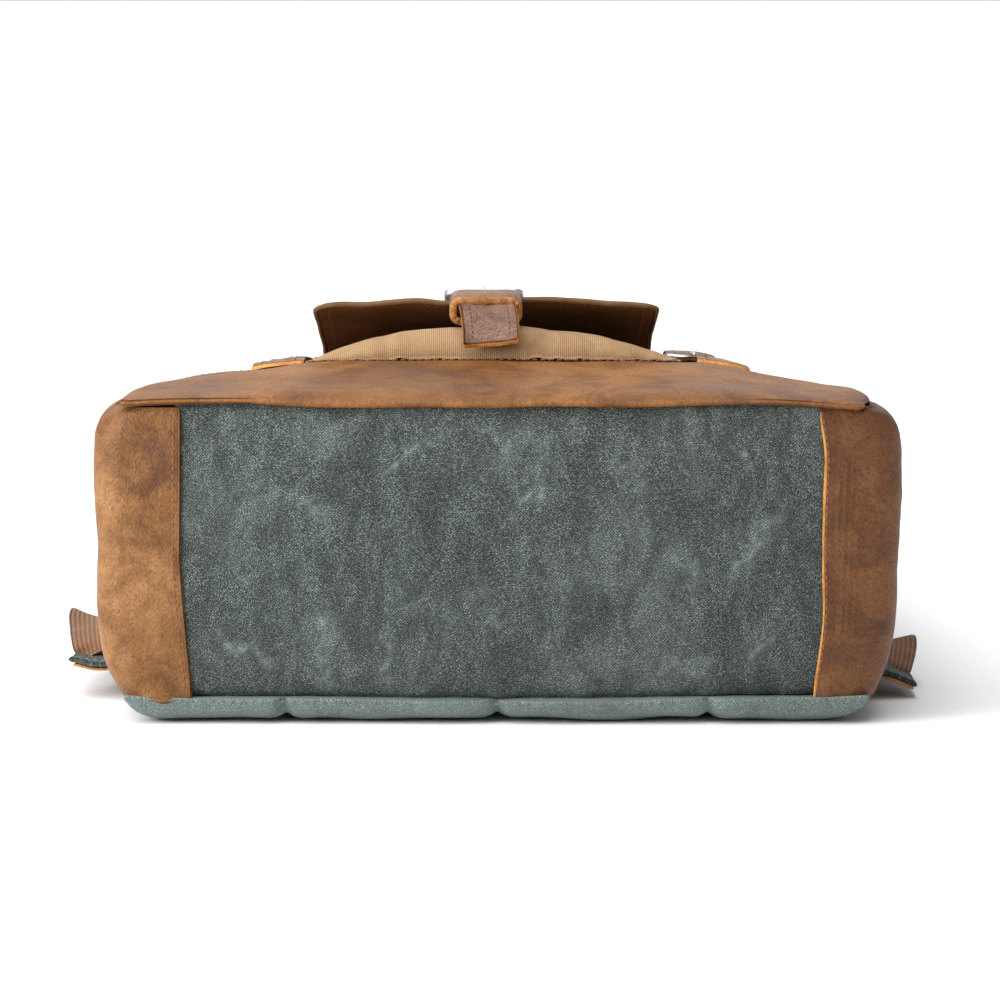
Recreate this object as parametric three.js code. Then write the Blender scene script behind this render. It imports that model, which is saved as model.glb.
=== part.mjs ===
// A waxed-canvas and leather backpack, lying on its back.
// Millimetres. x runs across the bag, y from its bottom end to its mouth, z from its back to its front.

import * as THREE from 'three';

// ---------------------------------------------------------------- driving dimensions

const GAP = 0.3;                 // left between pieces that are sewn or lie together

const BODY = {
  seamHalf: 155,                 // half the width between the side seams, at the bottom
  taper: 13,                     // how much narrower each side is at the mouth
  taperStart: 100,
  bulge: 11.5,                   // how far each side swells out between its seams
  boxiness: 4,                   // higher is flatter between the seams
  height: 400,                   // bottom end to mouth
};

const BACK = {
  padding: 12,                   // thickness of the quilted back
  lift: 9.5,                     // the back arches off the ground by this much above its lip
  liftStart: 35,
  liftEnd: 80,
  lipFront: -3,                  // the padded lip rolls past the bottom end
  lipRound: 15,
  edgeShare: 0.09,               // share of the half width that rounds up to the side seam
  thinnest: 0.7,
  quiltLines: [-0.568, 0, 0.568],
  quiltHalf: 0.05,
  quiltDepth: 3,
};

const FRONT = { seamZ: 137.5, bandTopZ: 144, mouthZ: 102, crown: 8 };
const BAND = { top: 90, overhang: 4, roll: 1.5 };
const CLOTH = 2;                 // canvas with its backing
const LEATHER = 2.4;
const BOTTOM = { half: 132, bulge: 4 };
const CORNER = { radius: 12, top: 90 };
const ARCH_YS = [35, 46, 58, 69, 80]; // stations along the stretch where the back leaves the ground
const BOARD = { half: 120, y: 3.2, thickness: 2.4, low: 30, high: 118 };
const BINDING = { thickness: 4, length: 3.2 };
const LINING = { inset: 4, thickness: 0.8, bottom: 6.5, squareness: 0.3, points: 24 };
const SLEEVE = { half: 118, bottom: 14, top: 320, lift: 12, thickness: 5 };

const POCKET = {
  half: 81, bottom: 90.6, mouth: 210,
  crest: 15, crestY: 112, mouthRise: 9.3,
  fullness: 2.6,                 // higher is flatter across the top of the dome
  endRound: 16, cloth: 1.5, rim: 1.5,
};

const FLAP = {
  centre: -5, half: 77, corner: 8,
  edgeY: 120, edgeZ: 168.5, slope: 0.285,
  hingeY: 226, hingeLift: 3.8, bend: 5, droop: 2.5,
  cloth: 2, lining: 1,
};

const STRAP = { width: 25, thickness: 2.2, lift: 0.4, start: 216 };
const KEEPER = { y: [104, 114], half: 16, low: 164, high: 175.2, thickness: 2.4 };
const FRAME = { half: 15.5, length: 20, bar: 3.2, thickness: 2.2, corner: 3 };
const PRONG = { width: 3, thickness: 1.6, overhang: 1 };
const FLAP_BUCKLE_Y = 124;

const LID = { half: 146, corner: 16, edgeY: 250, lift: 3.4, cloth: 2.6, backY: 408, hingeZ: 13, bend: 5 };
const LID_STRAP = {
  x: 97.5, half: 12, tip: 104, end: 285, thickness: 2,
  lift: 3.7, tipLift: 0.5, tipLength: 26, buckleY: 140,
};
const CHAPE = { half: 13, y: [120, 172], thickness: 1.6 };
const SNAP = { radius: 6.5, y: 135, thickness: 1, sides: 12 };
const RIVET = { radius: 2.6, y: 167, thickness: 1.2, sides: 10 };

const YOKE = { half: 72, bottom: 352, top: 398, height: 9.2, round: 3 };
const HANDLE = { half: 45, reach: 37, width: 12, low: 0.4, high: 7.4, start: 398.5 };
const PAD = { half: 28, low: 0.5, high: 8.5, round: 0.82 };
const ADJUSTER = { half: 17, length: 16, bar: 3.4, low: 2.4, high: 6.4, corner: 3, gap: 1.5 };
const WEBBING = { width: 25, thickness: 2 };
const TAB = { x: [158.4, 184], y: [50, 86], low: 13.2, high: 17.2, drop: 1.6, backing: 2 };

const COLOURS = {
  green: { color: 0x4b5f5a, roughness: 0.82, metalness: 0 },
  khaki: { color: 0x8e744e, roughness: 0.85, metalness: 0 },
  brown: { color: 0xa06a3a, roughness: 0.55, metalness: 0 },
  dark: { color: 0x2e2118, roughness: 0.9, metalness: 0 },
  tan: { color: 0x9a6c48, roughness: 0.9, metalness: 0 },
  cotton: { color: 0x8a7a62, roughness: 0.95, metalness: 0 },
  steel: { color: 0xc4c6c8, roughness: 0.25, metalness: 1 },
  board: { color: 0x3a3a38, roughness: 0.7, metalness: 0 },
};

// ---------------------------------------------------------------- small maths

const clamp = (t) => Math.min(1, Math.max(0, t));
const mix = (a, b, t) => a + (b - a) * t;
const steps = (a, b, count) => Array.from({ length: count + 1 }, (_, i) => mix(a, b, i / count));

function smooth(a, b, t) {
  const s = clamp((t - a) / (b - a));
  return s * s * (3 - 2 * s);
}

// ---------------------------------------------------------------- solids from grids and sections

// Turns a triangle list inside out when its volume is negative, so that its faces point out.
function closedGeometry(points, triangles) {
  let volume = 0;
  for (const [a, b, c] of triangles) {
    const [p, q, r] = [points[a], points[b], points[c]];
    volume += p[0] * (q[1] * r[2] - q[2] * r[1]);
    volume += p[1] * (q[2] * r[0] - q[0] * r[2]);
    volume += p[2] * (q[0] * r[1] - q[1] * r[0]);
  }
  const facing = volume < 0 ? triangles.map(([a, b, c]) => [a, c, b]) : triangles;
  const geometry = new THREE.BufferGeometry();
  geometry.setAttribute('position', new THREE.Float32BufferAttribute(points.flat(), 3));
  geometry.setIndex(facing.flat());
  geometry.computeVertexNormals();
  return geometry;
}

// A closed solid between two grids of the same size, each a list of rows of points.
function solidBetween(outer, inner) {
  const rows = outer.length;
  const columns = outer[0].length;
  const points = [...outer.flat(), ...inner.flat()];
  const at = (layer, i, j) => layer * rows * columns + i * columns + j;
  const triangles = [];
  const quad = (a, b, c, d) => triangles.push([a, b, c], [a, c, d]);
  for (let i = 0; i < rows - 1; i += 1) {
    for (let j = 0; j < columns - 1; j += 1) {
      quad(at(0, i, j), at(0, i + 1, j), at(0, i + 1, j + 1), at(0, i, j + 1));
      quad(at(1, i, j), at(1, i, j + 1), at(1, i + 1, j + 1), at(1, i + 1, j));
    }
  }
  for (let i = 0; i < rows - 1; i += 1) {
    quad(at(0, i, 0), at(1, i, 0), at(1, i + 1, 0), at(0, i + 1, 0));
    quad(at(0, i + 1, columns - 1), at(1, i + 1, columns - 1), at(1, i, columns - 1), at(0, i, columns - 1));
  }
  for (let j = 0; j < columns - 1; j += 1) {
    quad(at(0, 0, j + 1), at(1, 0, j + 1), at(1, 0, j), at(0, 0, j));
    quad(at(0, rows - 1, j), at(1, rows - 1, j), at(1, rows - 1, j + 1), at(0, rows - 1, j + 1));
  }
  return closedGeometry(points, triangles);
}

// A solid over a grid of u and v, from its low to its high level; place gives each corner.
function slab(us, vs, low, high, place = (u, v, w) => [u, v, w]) {
  const grid = (level) => us.map((u) => vs.map((v) => place(u, v, level(u, v))));
  return solidBetween(grid(high), grid(low));
}

// A sheet of even thickness whose outer face is the surface given.
function sheet(surface, us, vs, thickness, inward) {
  const nudge = 1e-3;
  const outer = us.map((u) => vs.map((v) => surface(u, v)));
  const inner = us.map((u) => vs.map((v) => {
    const here = new THREE.Vector3(...surface(u, v));
    const alongU = new THREE.Vector3(...surface(u + nudge, v)).sub(new THREE.Vector3(...surface(u - nudge, v)));
    const alongV = new THREE.Vector3(...surface(u, v + nudge)).sub(new THREE.Vector3(...surface(u, v - nudge)));
    const normal = alongU.cross(alongV).normalize();
    if (normal.dot(inward(here)) < 0) normal.negate();
    return here.addScaledVector(normal, thickness).toArray();
  }));
  return solidBetween(outer, inner);
}

// A solid through sections of equal length; the ends are capped unless the sections form a ring.
function loft(sections, ring = false) {
  const count = sections[0].length;
  const points = sections.flat();
  const triangles = [];
  const last = ring ? sections.length : sections.length - 1;
  for (let i = 0; i < last; i += 1) {
    const next = (i + 1) % sections.length;
    for (let j = 0; j < count; j += 1) {
      const k = (j + 1) % count;
      triangles.push([i * count + j, next * count + j, next * count + k]);
      triangles.push([i * count + j, next * count + k, i * count + k]);
    }
  }
  if (!ring) {
    const end = (sections.length - 1) * count;
    for (let j = 1; j < count - 1; j += 1) {
      triangles.push([0, j, j + 1]);
      triangles.push([end, end + j + 1, end + j]);
    }
  }
  return closedGeometry(points, triangles);
}

// A flat strap along a path, with its width across the side vector given for each point.
function ribbon(path, side, width, thickness) {
  const points = path.map((p) => new THREE.Vector3(...p));
  const sections = points.map((p, i) => {
    const before = points[Math.max(0, i - 1)];
    const after = points[Math.min(points.length - 1, i + 1)];
    const along = after.clone().sub(before).normalize();
    const across = new THREE.Vector3(...side(i / (points.length - 1)));
    across.addScaledVector(along, -across.dot(along)).normalize();
    const up = across.clone().cross(along).normalize();
    const corner = (s, t) => p.clone()
      .addScaledVector(across, s * width / 2)
      .addScaledVector(up, t * thickness / 2)
      .toArray();
    return [corner(-1, -1), corner(1, -1), corner(1, 1), corner(-1, 1)];
  });
  return loft(sections);
}

const curveThrough = (points, count) => new THREE.CatmullRomCurve3(points.map((p) => new THREE.Vector3(...p)))
  .getSpacedPoints(count)
  .map((p) => p.toArray());

// The outline of a rectangle with round corners, as points in a plane.
function roundedRectangle(halfWidth, halfHeight, radius, arcSteps = 3) {
  const outline = [];
  for (let corner = 0; corner < 4; corner += 1) {
    const cx = (corner === 0 || corner === 3 ? 1 : -1) * (halfWidth - radius);
    const cy = (corner < 2 ? 1 : -1) * (halfHeight - radius);
    for (let i = 0; i <= arcSteps; i += 1) {
      const angle = (corner + i / arcSteps) * Math.PI / 2;
      outline.push([cx + radius * Math.cos(angle), cy + radius * Math.sin(angle)]);
    }
  }
  return outline;
}

// A rectangular ring that follows a surface, such as a buckle's frame.
function frameOn(surface, cx, cy, halfWidth, halfLength, bar, corner, low, high, turn = 0) {
  const outer = roundedRectangle(halfWidth, halfLength, corner);
  const inner = roundedRectangle(halfWidth - bar, halfLength - bar, corner / 2);
  const place = ([u, v], lift) => {
    const x = cx + u * Math.cos(turn) - v * Math.sin(turn);
    const y = cy + u * Math.sin(turn) + v * Math.cos(turn);
    return [x, y, surface(x, y) + lift];
  };
  return loft(outer.map((p, i) => [
    place(p, low), place(p, high), place(inner[i], high), place(inner[i], low),
  ]), true);
}

// A round disc that follows a surface.
function discOn(surface, cx, cy, radius, low, high, sides) {
  const ring = (lift) => Array.from({ length: sides }, (_, i) => {
    const angle = 2 * Math.PI * i / sides;
    const x = cx + radius * Math.cos(angle);
    const y = cy + radius * Math.sin(angle);
    return [x, y, surface(x, y) + lift];
  });
  return loft([ring(low), ring(high)]);
}

// ---------------------------------------------------------------- the bag's own surfaces

const seamHalf = (y) => BODY.seamHalf - BODY.taper * smooth(BODY.taperStart, BODY.height, y);
const backLift = (y) => BACK.lift * smooth(BACK.liftStart, BACK.liftEnd, y);
const backSeam = (y) => BACK.padding + backLift(y);

function frontCentre(y) {
  if (y <= BAND.top) {
    return FRONT.seamZ + (FRONT.bandTopZ - FRONT.seamZ) * Math.sin(Math.PI / 2 * clamp(y / BAND.top));
  }
  return mix(FRONT.bandTopZ, FRONT.mouthZ, (y - BAND.top) / (BODY.height - BAND.top));
}

const frontZ = (x, y) => frontCentre(y) - FRONT.crown * clamp(y / BAND.top) * (x / BODY.seamHalf) ** 2;
const sideX = (v, y) => seamHalf(y) + BODY.bulge * (1 - Math.abs(2 * v - 1) ** BODY.boxiness);
const WALL_VS = [0, 0.06, 0.16, 0.33, 0.5, 0.67, 0.84, 0.94, 1]; // stations up the side
const bottomBulge = (x, v) => BOTTOM.bulge * Math.sin(Math.PI * v) * (1 - (x / BODY.seamHalf) ** 4);

// Height on the side or the bottom end, v = 0 at the back seam and 1 under the front.
const wallZ = (v, y, cover) => mix(backSeam(y) + GAP, frontZ(seamHalf(y), y) - cover - GAP, v);

// ---------------------------------------------------------------- casing of the bag

function backPanel() {
  const grooves = BACK.quiltLines.flatMap((u) => [u - BACK.quiltHalf, u, u + BACK.quiltHalf]);
  const us = [-1, -0.97, -0.91, ...grooves, 0.91, 0.97, 1];
  const ys = [BACK.lipFront, 0, 5, CORNER.radius, ...ARCH_YS, 160, 240, 320, BODY.height];
  const underside = (u, y) => {
    const toSide = clamp((Math.abs(u) - (1 - BACK.edgeShare)) / BACK.edgeShare);
    const toEnd = clamp((BACK.lipFront + BACK.lipRound - y) / BACK.lipRound);
    const flat = Math.sqrt(Math.max(0, (1 - toSide ** 2) * (1 - toEnd ** 2)));
    const quilted = BACK.quiltLines.some((line) => Math.abs(line - u) < 1e-6) ? BACK.quiltDepth : 0;
    const round = (BACK.padding - GAP - BACK.thinnest) * (1 - flat);
    return backLift(y) + Math.max(round, quilted);
  };
  const inside = (u, y) => backSeam(y);
  return slab(us, ys, underside, inside, (u, y, z) => [u * seamHalf(y), y, z]);
}

function bottomPanel() {
  const face = (x, v) => -bottomBulge(x, v);
  const inside = (x, v) => face(x, v) + CLOTH;
  const place = (x, v, y) => [x, y, wallZ(v, 0, LEATHER)];
  return slab(steps(-BOTTOM.half, BOTTOM.half, 10), WALL_VS, inside, face, place);
}

function bottomBoard() {
  const board = new THREE.BoxGeometry(2 * BOARD.half, BOARD.thickness, BOARD.high - BOARD.low);
  return board.translate(0, BOARD.y + BOARD.thickness / 2, (BOARD.low + BOARD.high) / 2);
}

// From the bottom end round the corner and up the side; s counts end, corner, side.
function cornerPatch(side) {
  const inner = BOTTOM.half + GAP;
  const radius = CORNER.radius;
  const plan = (s, v) => {
    const arcX = sideX(v, radius) - radius;
    if (s <= 1) {
      const x = mix(inner, arcX, s);
      return [x, -bottomBulge(x, v)];
    }
    if (s <= 2) {
      const angle = (s - 1) * Math.PI / 2;
      const meet = bottomBulge(arcX, v) * (2 - s);
      return [arcX + radius * Math.sin(angle), radius - radius * Math.cos(angle) - meet];
    }
    const y = mix(radius, CORNER.top, s - 2);
    return [sideX(v, y), y];
  };
  const surface = (s, v) => {
    const [x, y] = plan(s, v);
    return [side * x, y, wallZ(v, Math.max(0, y), LEATHER)];
  };
  const inward = (p) => new THREE.Vector3(-side, p.y < radius ? 1 : 0, 0);
  const alongSide = [...ARCH_YS, CORNER.top].map((y) => 2 + (y - radius) / (CORNER.top - radius));
  const stations = [0, 0.5, ...steps(1, 2, 3), ...alongSide];
  return sheet(surface, stations, WALL_VS, LEATHER, inward);
}

function frontSheet(ys, thickness) {
  const top = (u, y) => frontZ(u * seamHalf(y), y) - (y < 0 ? BAND.roll * (-y / BAND.overhang) : 0);
  const under = (u, y) => top(u, y) - thickness;
  return slab(steps(-1, 1, 14), ys, under, top, (u, y, z) => [u * seamHalf(y), y, z]);
}

const baseBand = () => frontSheet([-BAND.overhang, 0, 12, 30, 50, 70, BAND.top], LEATHER);
const frontPanel = () => frontSheet(steps(BAND.top + GAP, BODY.height, 7), CLOTH);

function sidePanel(side) {
  const outside = (v, y) => sideX(v, y);
  const inside = (v, y) => sideX(v, y) - CLOTH;
  const place = (v, y, x) => [side * x, y, wallZ(v, y, CLOTH)];
  return slab(WALL_VS, steps(CORNER.top + GAP, BODY.height, 6), inside, outside, place);
}

// The bound edge of the mouth: a ring on the ends of the four walls.
function mouthBinding() {
  const y0 = BODY.height + GAP;
  const y1 = y0 + BINDING.length;
  const half = seamHalf(BODY.height);
  const outline = [
    ...steps(-1, 1, 6).slice(0, -1).map((u) => [u * half, backSeam(y0) - BINDING.thickness]),
    ...WALL_VS.slice(0, -1).map((v) => [sideX(v, y0), wallZ(v, y0, 0)]),
    ...steps(1, -1, 8).slice(0, -1).map((u) => [u * half, frontZ(u * half, y0)]),
    ...WALL_VS.slice(1).reverse().map((v) => [-sideX(v, y0), wallZ(v, y0, 0)]),
  ];
  const centre = (backSeam(y0) + frontCentre(y0)) / 2;
  const inwards = ([x, z]) => [
    x - Math.sign(x) * BINDING.thickness * clamp(Math.abs(x) / half) ** 3,
    z - Math.sign(z - centre) * BINDING.thickness * clamp(2 * Math.abs(z - centre) / (frontCentre(y0) - backSeam(y0))) ** 3,
  ];
  return loft(outline.map((p) => {
    const q = inwards(p);
    return [[p[0], y0, p[1]], [p[0], y1, p[1]], [q[0], y1, q[1]], [q[0], y0, q[1]]];
  }), true);
}

function lining() {
  const ring = (y, extra) => Array.from({ length: LINING.points }, (_, i) => {
    const angle = 2 * Math.PI * (i + 0.5) / LINING.points;
    const power = (t) => Math.sign(t) * Math.abs(t) ** LINING.squareness;
    const halfX = seamHalf(y) - LINING.inset - extra;
    const low = backSeam(y) + 1 + extra;
    const high = frontZ(seamHalf(y), y) - LINING.inset - extra;
    return [halfX * power(Math.cos(angle)), y, (low + high) / 2 + (high - low) / 2 * power(Math.sin(angle))];
  });
  const levels = [LINING.bottom, 35, 60, 85, 190, 290, BODY.height - 2];
  const outside = levels.map((y) => ring(y, 0));
  const inside = levels.map((y) => ring(Math.max(y, LINING.bottom + LINING.thickness), LINING.thickness));
  return loft([...outside, ...inside.reverse()]);
}

function sleevePanel() {
  const low = (x, y) => backSeam(y) + SLEEVE.lift;
  const high = (x, y) => low(x, y) + SLEEVE.thickness;
  const ys = [SLEEVE.bottom, BACK.liftStart, 58, BACK.liftEnd, 200, SLEEVE.top];
  return slab(steps(-SLEEVE.half, SLEEVE.half, 2), ys, low, high);
}

// ---------------------------------------------------------------- front pocket and its flap

// How far the pocket stands off the front of the bag; inset is a wall's thickness.
function pocketRise(x, y, inset) {
  const climb = y < POCKET.crestY
    ? POCKET.crest
    : mix(POCKET.crest, POCKET.mouthRise, (y - POCKET.crestY) / (POCKET.mouth - POCKET.crestY));
  const dome = 1 - clamp(Math.abs(x) / (POCKET.half - inset)) ** POCKET.fullness;
  const toEnd = clamp((POCKET.bottom + inset + POCKET.endRound - y) / POCKET.endRound);
  return (climb - inset) * dome * Math.sqrt(1 - toEnd ** 2);
}

function frontPocket() {
  const { half, endRound, bottom, mouth, cloth } = POCKET;
  const xs = [-half, ...steps(-half + cloth, half - cloth, 12), half];
  const turn = [0, cloth, 0.25 * endRound, 0.55 * endRound, endRound];
  const ys = [...turn.map((t) => bottom + t), 130, 150, 170, 190, mouth];
  const outside = (x, y) => frontZ(x, y) + GAP + Math.max(POCKET.rim, pocketRise(x, y, 0));
  const inside = (x, y) => frontZ(x, y) + GAP + pocketRise(x, y, cloth);
  return slab(xs, ys, inside, outside);
}

const flapHinge = () => frontZ(FLAP.centre, FLAP.hingeY) + FLAP.hingeLift;

function flapTop(x, y) {
  const straight = (at) => FLAP.edgeZ - (at - FLAP.edgeY) * FLAP.slope;
  const drop = straight(FLAP.hingeY) - flapHinge();
  const reach = FLAP.hingeY - y;
  const droop = FLAP.droop * ((x - FLAP.centre) / FLAP.half) ** 2 * reach / (FLAP.hingeY - FLAP.edgeY);
  return straight(y) - drop * Math.exp(-reach / FLAP.bend) - droop;
}

function flapLayer(top, bottom, inset) {
  const edge = FLAP.edgeY + inset;
  const half = (y) => {
    const inCorner = clamp((edge + FLAP.corner - y) / FLAP.corner);
    return FLAP.half - inset - FLAP.corner * (1 - Math.sqrt(1 - inCorner ** 2));
  };
  const ys = [edge, edge + 1.2, edge + 3.5, edge + FLAP.corner, 145, 170, 195, 208, 214, 218, 222, 224, FLAP.hingeY];
  const across = (u, y) => FLAP.centre + u * half(y);
  const high = (u, y) => flapTop(across(u, y), y) - top;
  const low = (u, y) => flapTop(across(u, y), y) - bottom;
  return slab(steps(-1, 1, 6), ys, low, high, (u, y, z) => [across(u, y), y, z]);
}

const pocketFlap = () => flapLayer(0, FLAP.cloth, 0);
const flapLining = () => flapLayer(FLAP.cloth + GAP, FLAP.cloth + GAP + FLAP.lining, 1.5);

function flapStrap() {
  const lift = STRAP.lift + STRAP.thickness / 2;
  const x = FLAP.centre;
  const onFlap = [STRAP.start, 210, 195, 170, 145, 126, 116].map((y) => [x, y, flapTop(x, y) + lift]);
  const tip = [[x, 108, 170.6], [x, 100, 167.2], [x, 92, 161.4], [x, 86.5, 154.5], [x, 84, 150]];
  return ribbon([...onFlap, ...tip], () => [1, 0, 0], STRAP.width, STRAP.thickness);
}

function flapKeeper() {
  const [y0, y1] = KEEPER.y;
  const halfHeight = (KEEPER.high - KEEPER.low) / 2;
  const middle = KEEPER.low + halfHeight;
  const outer = roundedRectangle(KEEPER.half, halfHeight, 4.5);
  const inner = roundedRectangle(KEEPER.half - KEEPER.thickness, halfHeight - KEEPER.thickness, 2.1);
  const at = ([x, z], y) => [FLAP.centre + x, y, middle + z];
  return loft(outer.map((p, i) => [at(p, y0), at(p, y1), at(inner[i], y1), at(inner[i], y0)]), true);
}

function buckleFrame(surface, x, y, lift) {
  const middle = y + FRAME.length / 2;
  const high = lift + FRAME.thickness;
  return frameOn(surface, x, middle, FRAME.half, FRAME.length / 2, FRAME.bar, FRAME.corner, lift, high);
}

function buckleProng(surface, x, y, lift) {
  const ys = steps(y - PRONG.overhang, y + FRAME.length, 4);
  const low = (u, v) => surface(u, v) + lift;
  const high = (u, v) => low(u, v) + PRONG.thickness;
  return slab([x - PRONG.width / 2, x + PRONG.width / 2], ys, low, high);
}

function flapSnap() {
  const y = 150;
  const lift = pocketRise(FLAP.centre, y, 0) + 3 * GAP;
  return discOn(frontZ, FLAP.centre, y, SNAP.radius, lift, lift + SNAP.thickness, SNAP.sides);
}

// ---------------------------------------------------------------- lid and its straps

// s counts end wall, bend and front, from the hinge to the free edge.
function lid() {
  const bendY = LID.backY - LID.bend;
  const half = (s) => {
    const y = s <= 2 ? bendY : mix(bendY, LID.edgeY, s - 2);
    const inCorner = clamp((LID.edgeY + LID.corner - y) / LID.corner);
    return LID.half - LID.corner * (1 - Math.sqrt(1 - inCorner ** 2));
  };
  const surface = (u, s) => {
    const x = u * half(s);
    const bendZ = frontZ(x, bendY) + LID.lift - LID.bend;
    if (s <= 1) return [x, LID.backY, mix(LID.hingeZ, bendZ, s)];
    if (s <= 2) {
      const angle = (s - 1) * Math.PI / 2;
      return [x, bendY + LID.bend * Math.cos(angle), bendZ + LID.bend * Math.sin(angle)];
    }
    const y = mix(bendY, LID.edgeY, s - 2);
    return [x, y, frontZ(x, y) + LID.lift];
  };
  const inward = (p) => new THREE.Vector3(0, p.y > bendY ? -1 : 0, -1);
  const cornerShare = LID.corner / (bendY - LID.edgeY);
  const end = [1, 0.97, 0.9, 0.7, 0.4].map((t) => 3 - cornerShare * (1 - t));
  const stations = [0, 0.5, 1, 1.33, 1.67, 2, 2.06, 2.3, 2.6, 3 - cornerShare, ...end.reverse()];
  return sheet(surface, steps(-1, 1, 12), stations, LID.cloth, inward);
}

const strapLift = (y) => mix(LID_STRAP.tipLift, LID_STRAP.lift, smooth(LID_STRAP.tip, LID_STRAP.tip + LID_STRAP.tipLength, y));

function lidStrap(side) {
  const x = side * LID_STRAP.x;
  const ys = [LID_STRAP.tip, 110, 116, 122, 130, 165, 200, 240, LID_STRAP.end];
  const low = (u, y) => frontZ(u, y) + strapLift(y);
  const high = (u, y) => low(u, y) + LID_STRAP.thickness;
  return slab(steps(x - LID_STRAP.half, x + LID_STRAP.half, 2), ys, low, high);
}

function chape(side) {
  const x = side * LID_STRAP.x;
  const low = (u, y) => frontZ(u, y) + GAP;
  const high = (u, y) => low(u, y) + CHAPE.thickness;
  return slab(steps(x - CHAPE.half, x + CHAPE.half, 2), steps(...CHAPE.y, 3), low, high);
}

const chapeTop = 2 * GAP + CHAPE.thickness;
const lidBuckleLift = LID_STRAP.lift + LID_STRAP.thickness + GAP;
const onFront = (radius, thickness, sides) => (x, y) =>
  discOn(frontZ, x, y, radius, chapeTop, chapeTop + thickness, sides);
const snapDisc = onFront(SNAP.radius, SNAP.thickness, SNAP.sides);
const rivetHead = onFront(RIVET.radius, RIVET.thickness, RIVET.sides);

// ---------------------------------------------------------------- back: yoke, handle, shoulder straps

function yoke() {
  const { half, bottom, top, height, round } = YOKE;
  const xs = [-half, -half + round, half - round, half];
  const ys = [bottom, bottom + round, top - round, top];
  const rim = (x, y) => (Math.abs(x) > half - round / 2 || y < bottom + round / 2 || y > top - round / 2);
  const low = (x, y) => (rim(x, y) ? round / 2 : 0);
  return slab(xs, ys, low, () => height);
}

function carryHandle() {
  const { half, reach, width, low, high, start } = HANDLE;
  const sections = steps(0, Math.PI, 12).map((angle) => {
    const ring = (radiusX, radiusY, z) => [-radiusX * Math.cos(angle), start + radiusY * Math.sin(angle), z];
    const bevel = width / 5;
    return [
      ring(half, reach, (low + high) / 2),
      ring(half - bevel, reach - bevel, high),
      ring(half - width + bevel, reach - width + bevel, high),
      ring(half - width, reach - width, (low + high) / 2),
      ring(half - width + bevel, reach - width + bevel, low),
      ring(half - bevel, reach - bevel, low),
    ];
  });
  return loft(sections);
}

const PAD_ROUTE = [[36, 342, 4.5], [44, 300, 4.5], [72, 254, 4.5], [107, 214, 4.5], [131, 171, 4.5]];
const padPath = curveThrough(PAD_ROUTE, 12);
const padEnd = padPath.at(-1);
const padEndTurn = Math.atan2(padEnd[0] - padPath.at(-2)[0], padPath.at(-2)[1] - padEnd[1]);

function shoulderPad(side) {
  const middle = (PAD.low + PAD.high) / 2;
  return loft(padPath.map(([x, y], i) => {
    const [x0, y0] = padPath[Math.max(0, i - 1)];
    const [x1, y1] = padPath[Math.min(padPath.length - 1, i + 1)];
    const length = Math.hypot(x1 - x0, y1 - y0);
    const across = [(y0 - y1) / length, (x1 - x0) / length];
    const at = (s, z) => [side * (x + across[0] * s * PAD.half), y + across[1] * s * PAD.half, z];
    return [
      at(-1, middle), at(-PAD.round, PAD.high), at(PAD.round, PAD.high),
      at(1, middle), at(PAD.round, PAD.low), at(-PAD.round, PAD.low),
    ];
  }));
}

function adjuster(side) {
  const away = ADJUSTER.gap + ADJUSTER.length / 2;
  const x = padEnd[0] + away * Math.sin(padEndTurn);
  const y = padEnd[1] - away * Math.cos(padEndTurn);
  return frameOn(
    () => 0, side * x, y, ADJUSTER.half, ADJUSTER.length / 2,
    ADJUSTER.bar, ADJUSTER.corner, ADJUSTER.low, ADJUSTER.high, side * padEndTurn,
  );
}

function webbing(side) {
  const route = [
    [145, 148, 4.4], [151, 134, 3.8], [160, 121, 6.5], [170.5, 112, 16],
    [176.2, 103, 28], [176.2, 92, 34], [175.2, 81, 31.5], [174, 72, 26.5], [173, 70, 22],
  ];
  const path = curveThrough(route.map(([x, y, z]) => [side * x, y, z]), 14);
  return ribbon(path, () => [side * 0.8, 0.6, 0], WEBBING.width, WEBBING.thickness);
}

function strapTab(side, low, high) {
  const [x0, x1] = TAB.x;
  const [y0, y1] = TAB.y;
  const bottom = (x) => low - TAB.drop * (x - x0) / (x1 - x0);
  return slab([x0, (x0 + x1) / 2, x1], [y0, y1], bottom, (x) => bottom(x) + high - low, (x, y, z) => {
    const narrowing = 6 * (x - x0) / (x1 - x0);
    return [side * x, y + (y === y0 ? narrowing : -narrowing), z];
  });
}

// ---------------------------------------------------------------- assembly

const bag = new THREE.Group();

function add(name, geometry, colour) {
  const mesh = new THREE.Mesh(geometry, new THREE.MeshStandardMaterial(COLOURS[colour]));
  mesh.name = name;
  bag.add(mesh);
}

add('back_panel', backPanel(), 'green');
add('bottom_panel', bottomPanel(), 'green');
add('bottom_board', bottomBoard(), 'board');
add('base_band', baseBand(), 'brown');
add('front_panel', frontPanel(), 'green');
add('mouth_binding', mouthBinding(), 'brown');
add('lining', lining(), 'cotton');
add('sleeve_panel', sleevePanel(), 'cotton');
add('front_pocket', frontPocket(), 'khaki');
add('pocket_flap', pocketFlap(), 'khaki');
add('pocket_flap_lining', flapLining(), 'dark');
add('flap_strap', flapStrap(), 'brown');
add('flap_keeper', flapKeeper(), 'brown');
const flapBuckleLift = STRAP.lift + STRAP.thickness + GAP;
add('flap_buckle', buckleFrame(flapTop, FLAP.centre, FLAP_BUCKLE_Y, flapBuckleLift), 'steel');
const flapProngLift = flapBuckleLift + FRAME.thickness + GAP;
add('flap_prong', buckleProng(flapTop, FLAP.centre, FLAP_BUCKLE_Y, flapProngLift), 'steel');
add('flap_snap', flapSnap(), 'steel');
add('lid', lid(), 'green');
add('yoke', yoke(), 'brown');
add('carry_handle', carryHandle(), 'brown');

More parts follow.
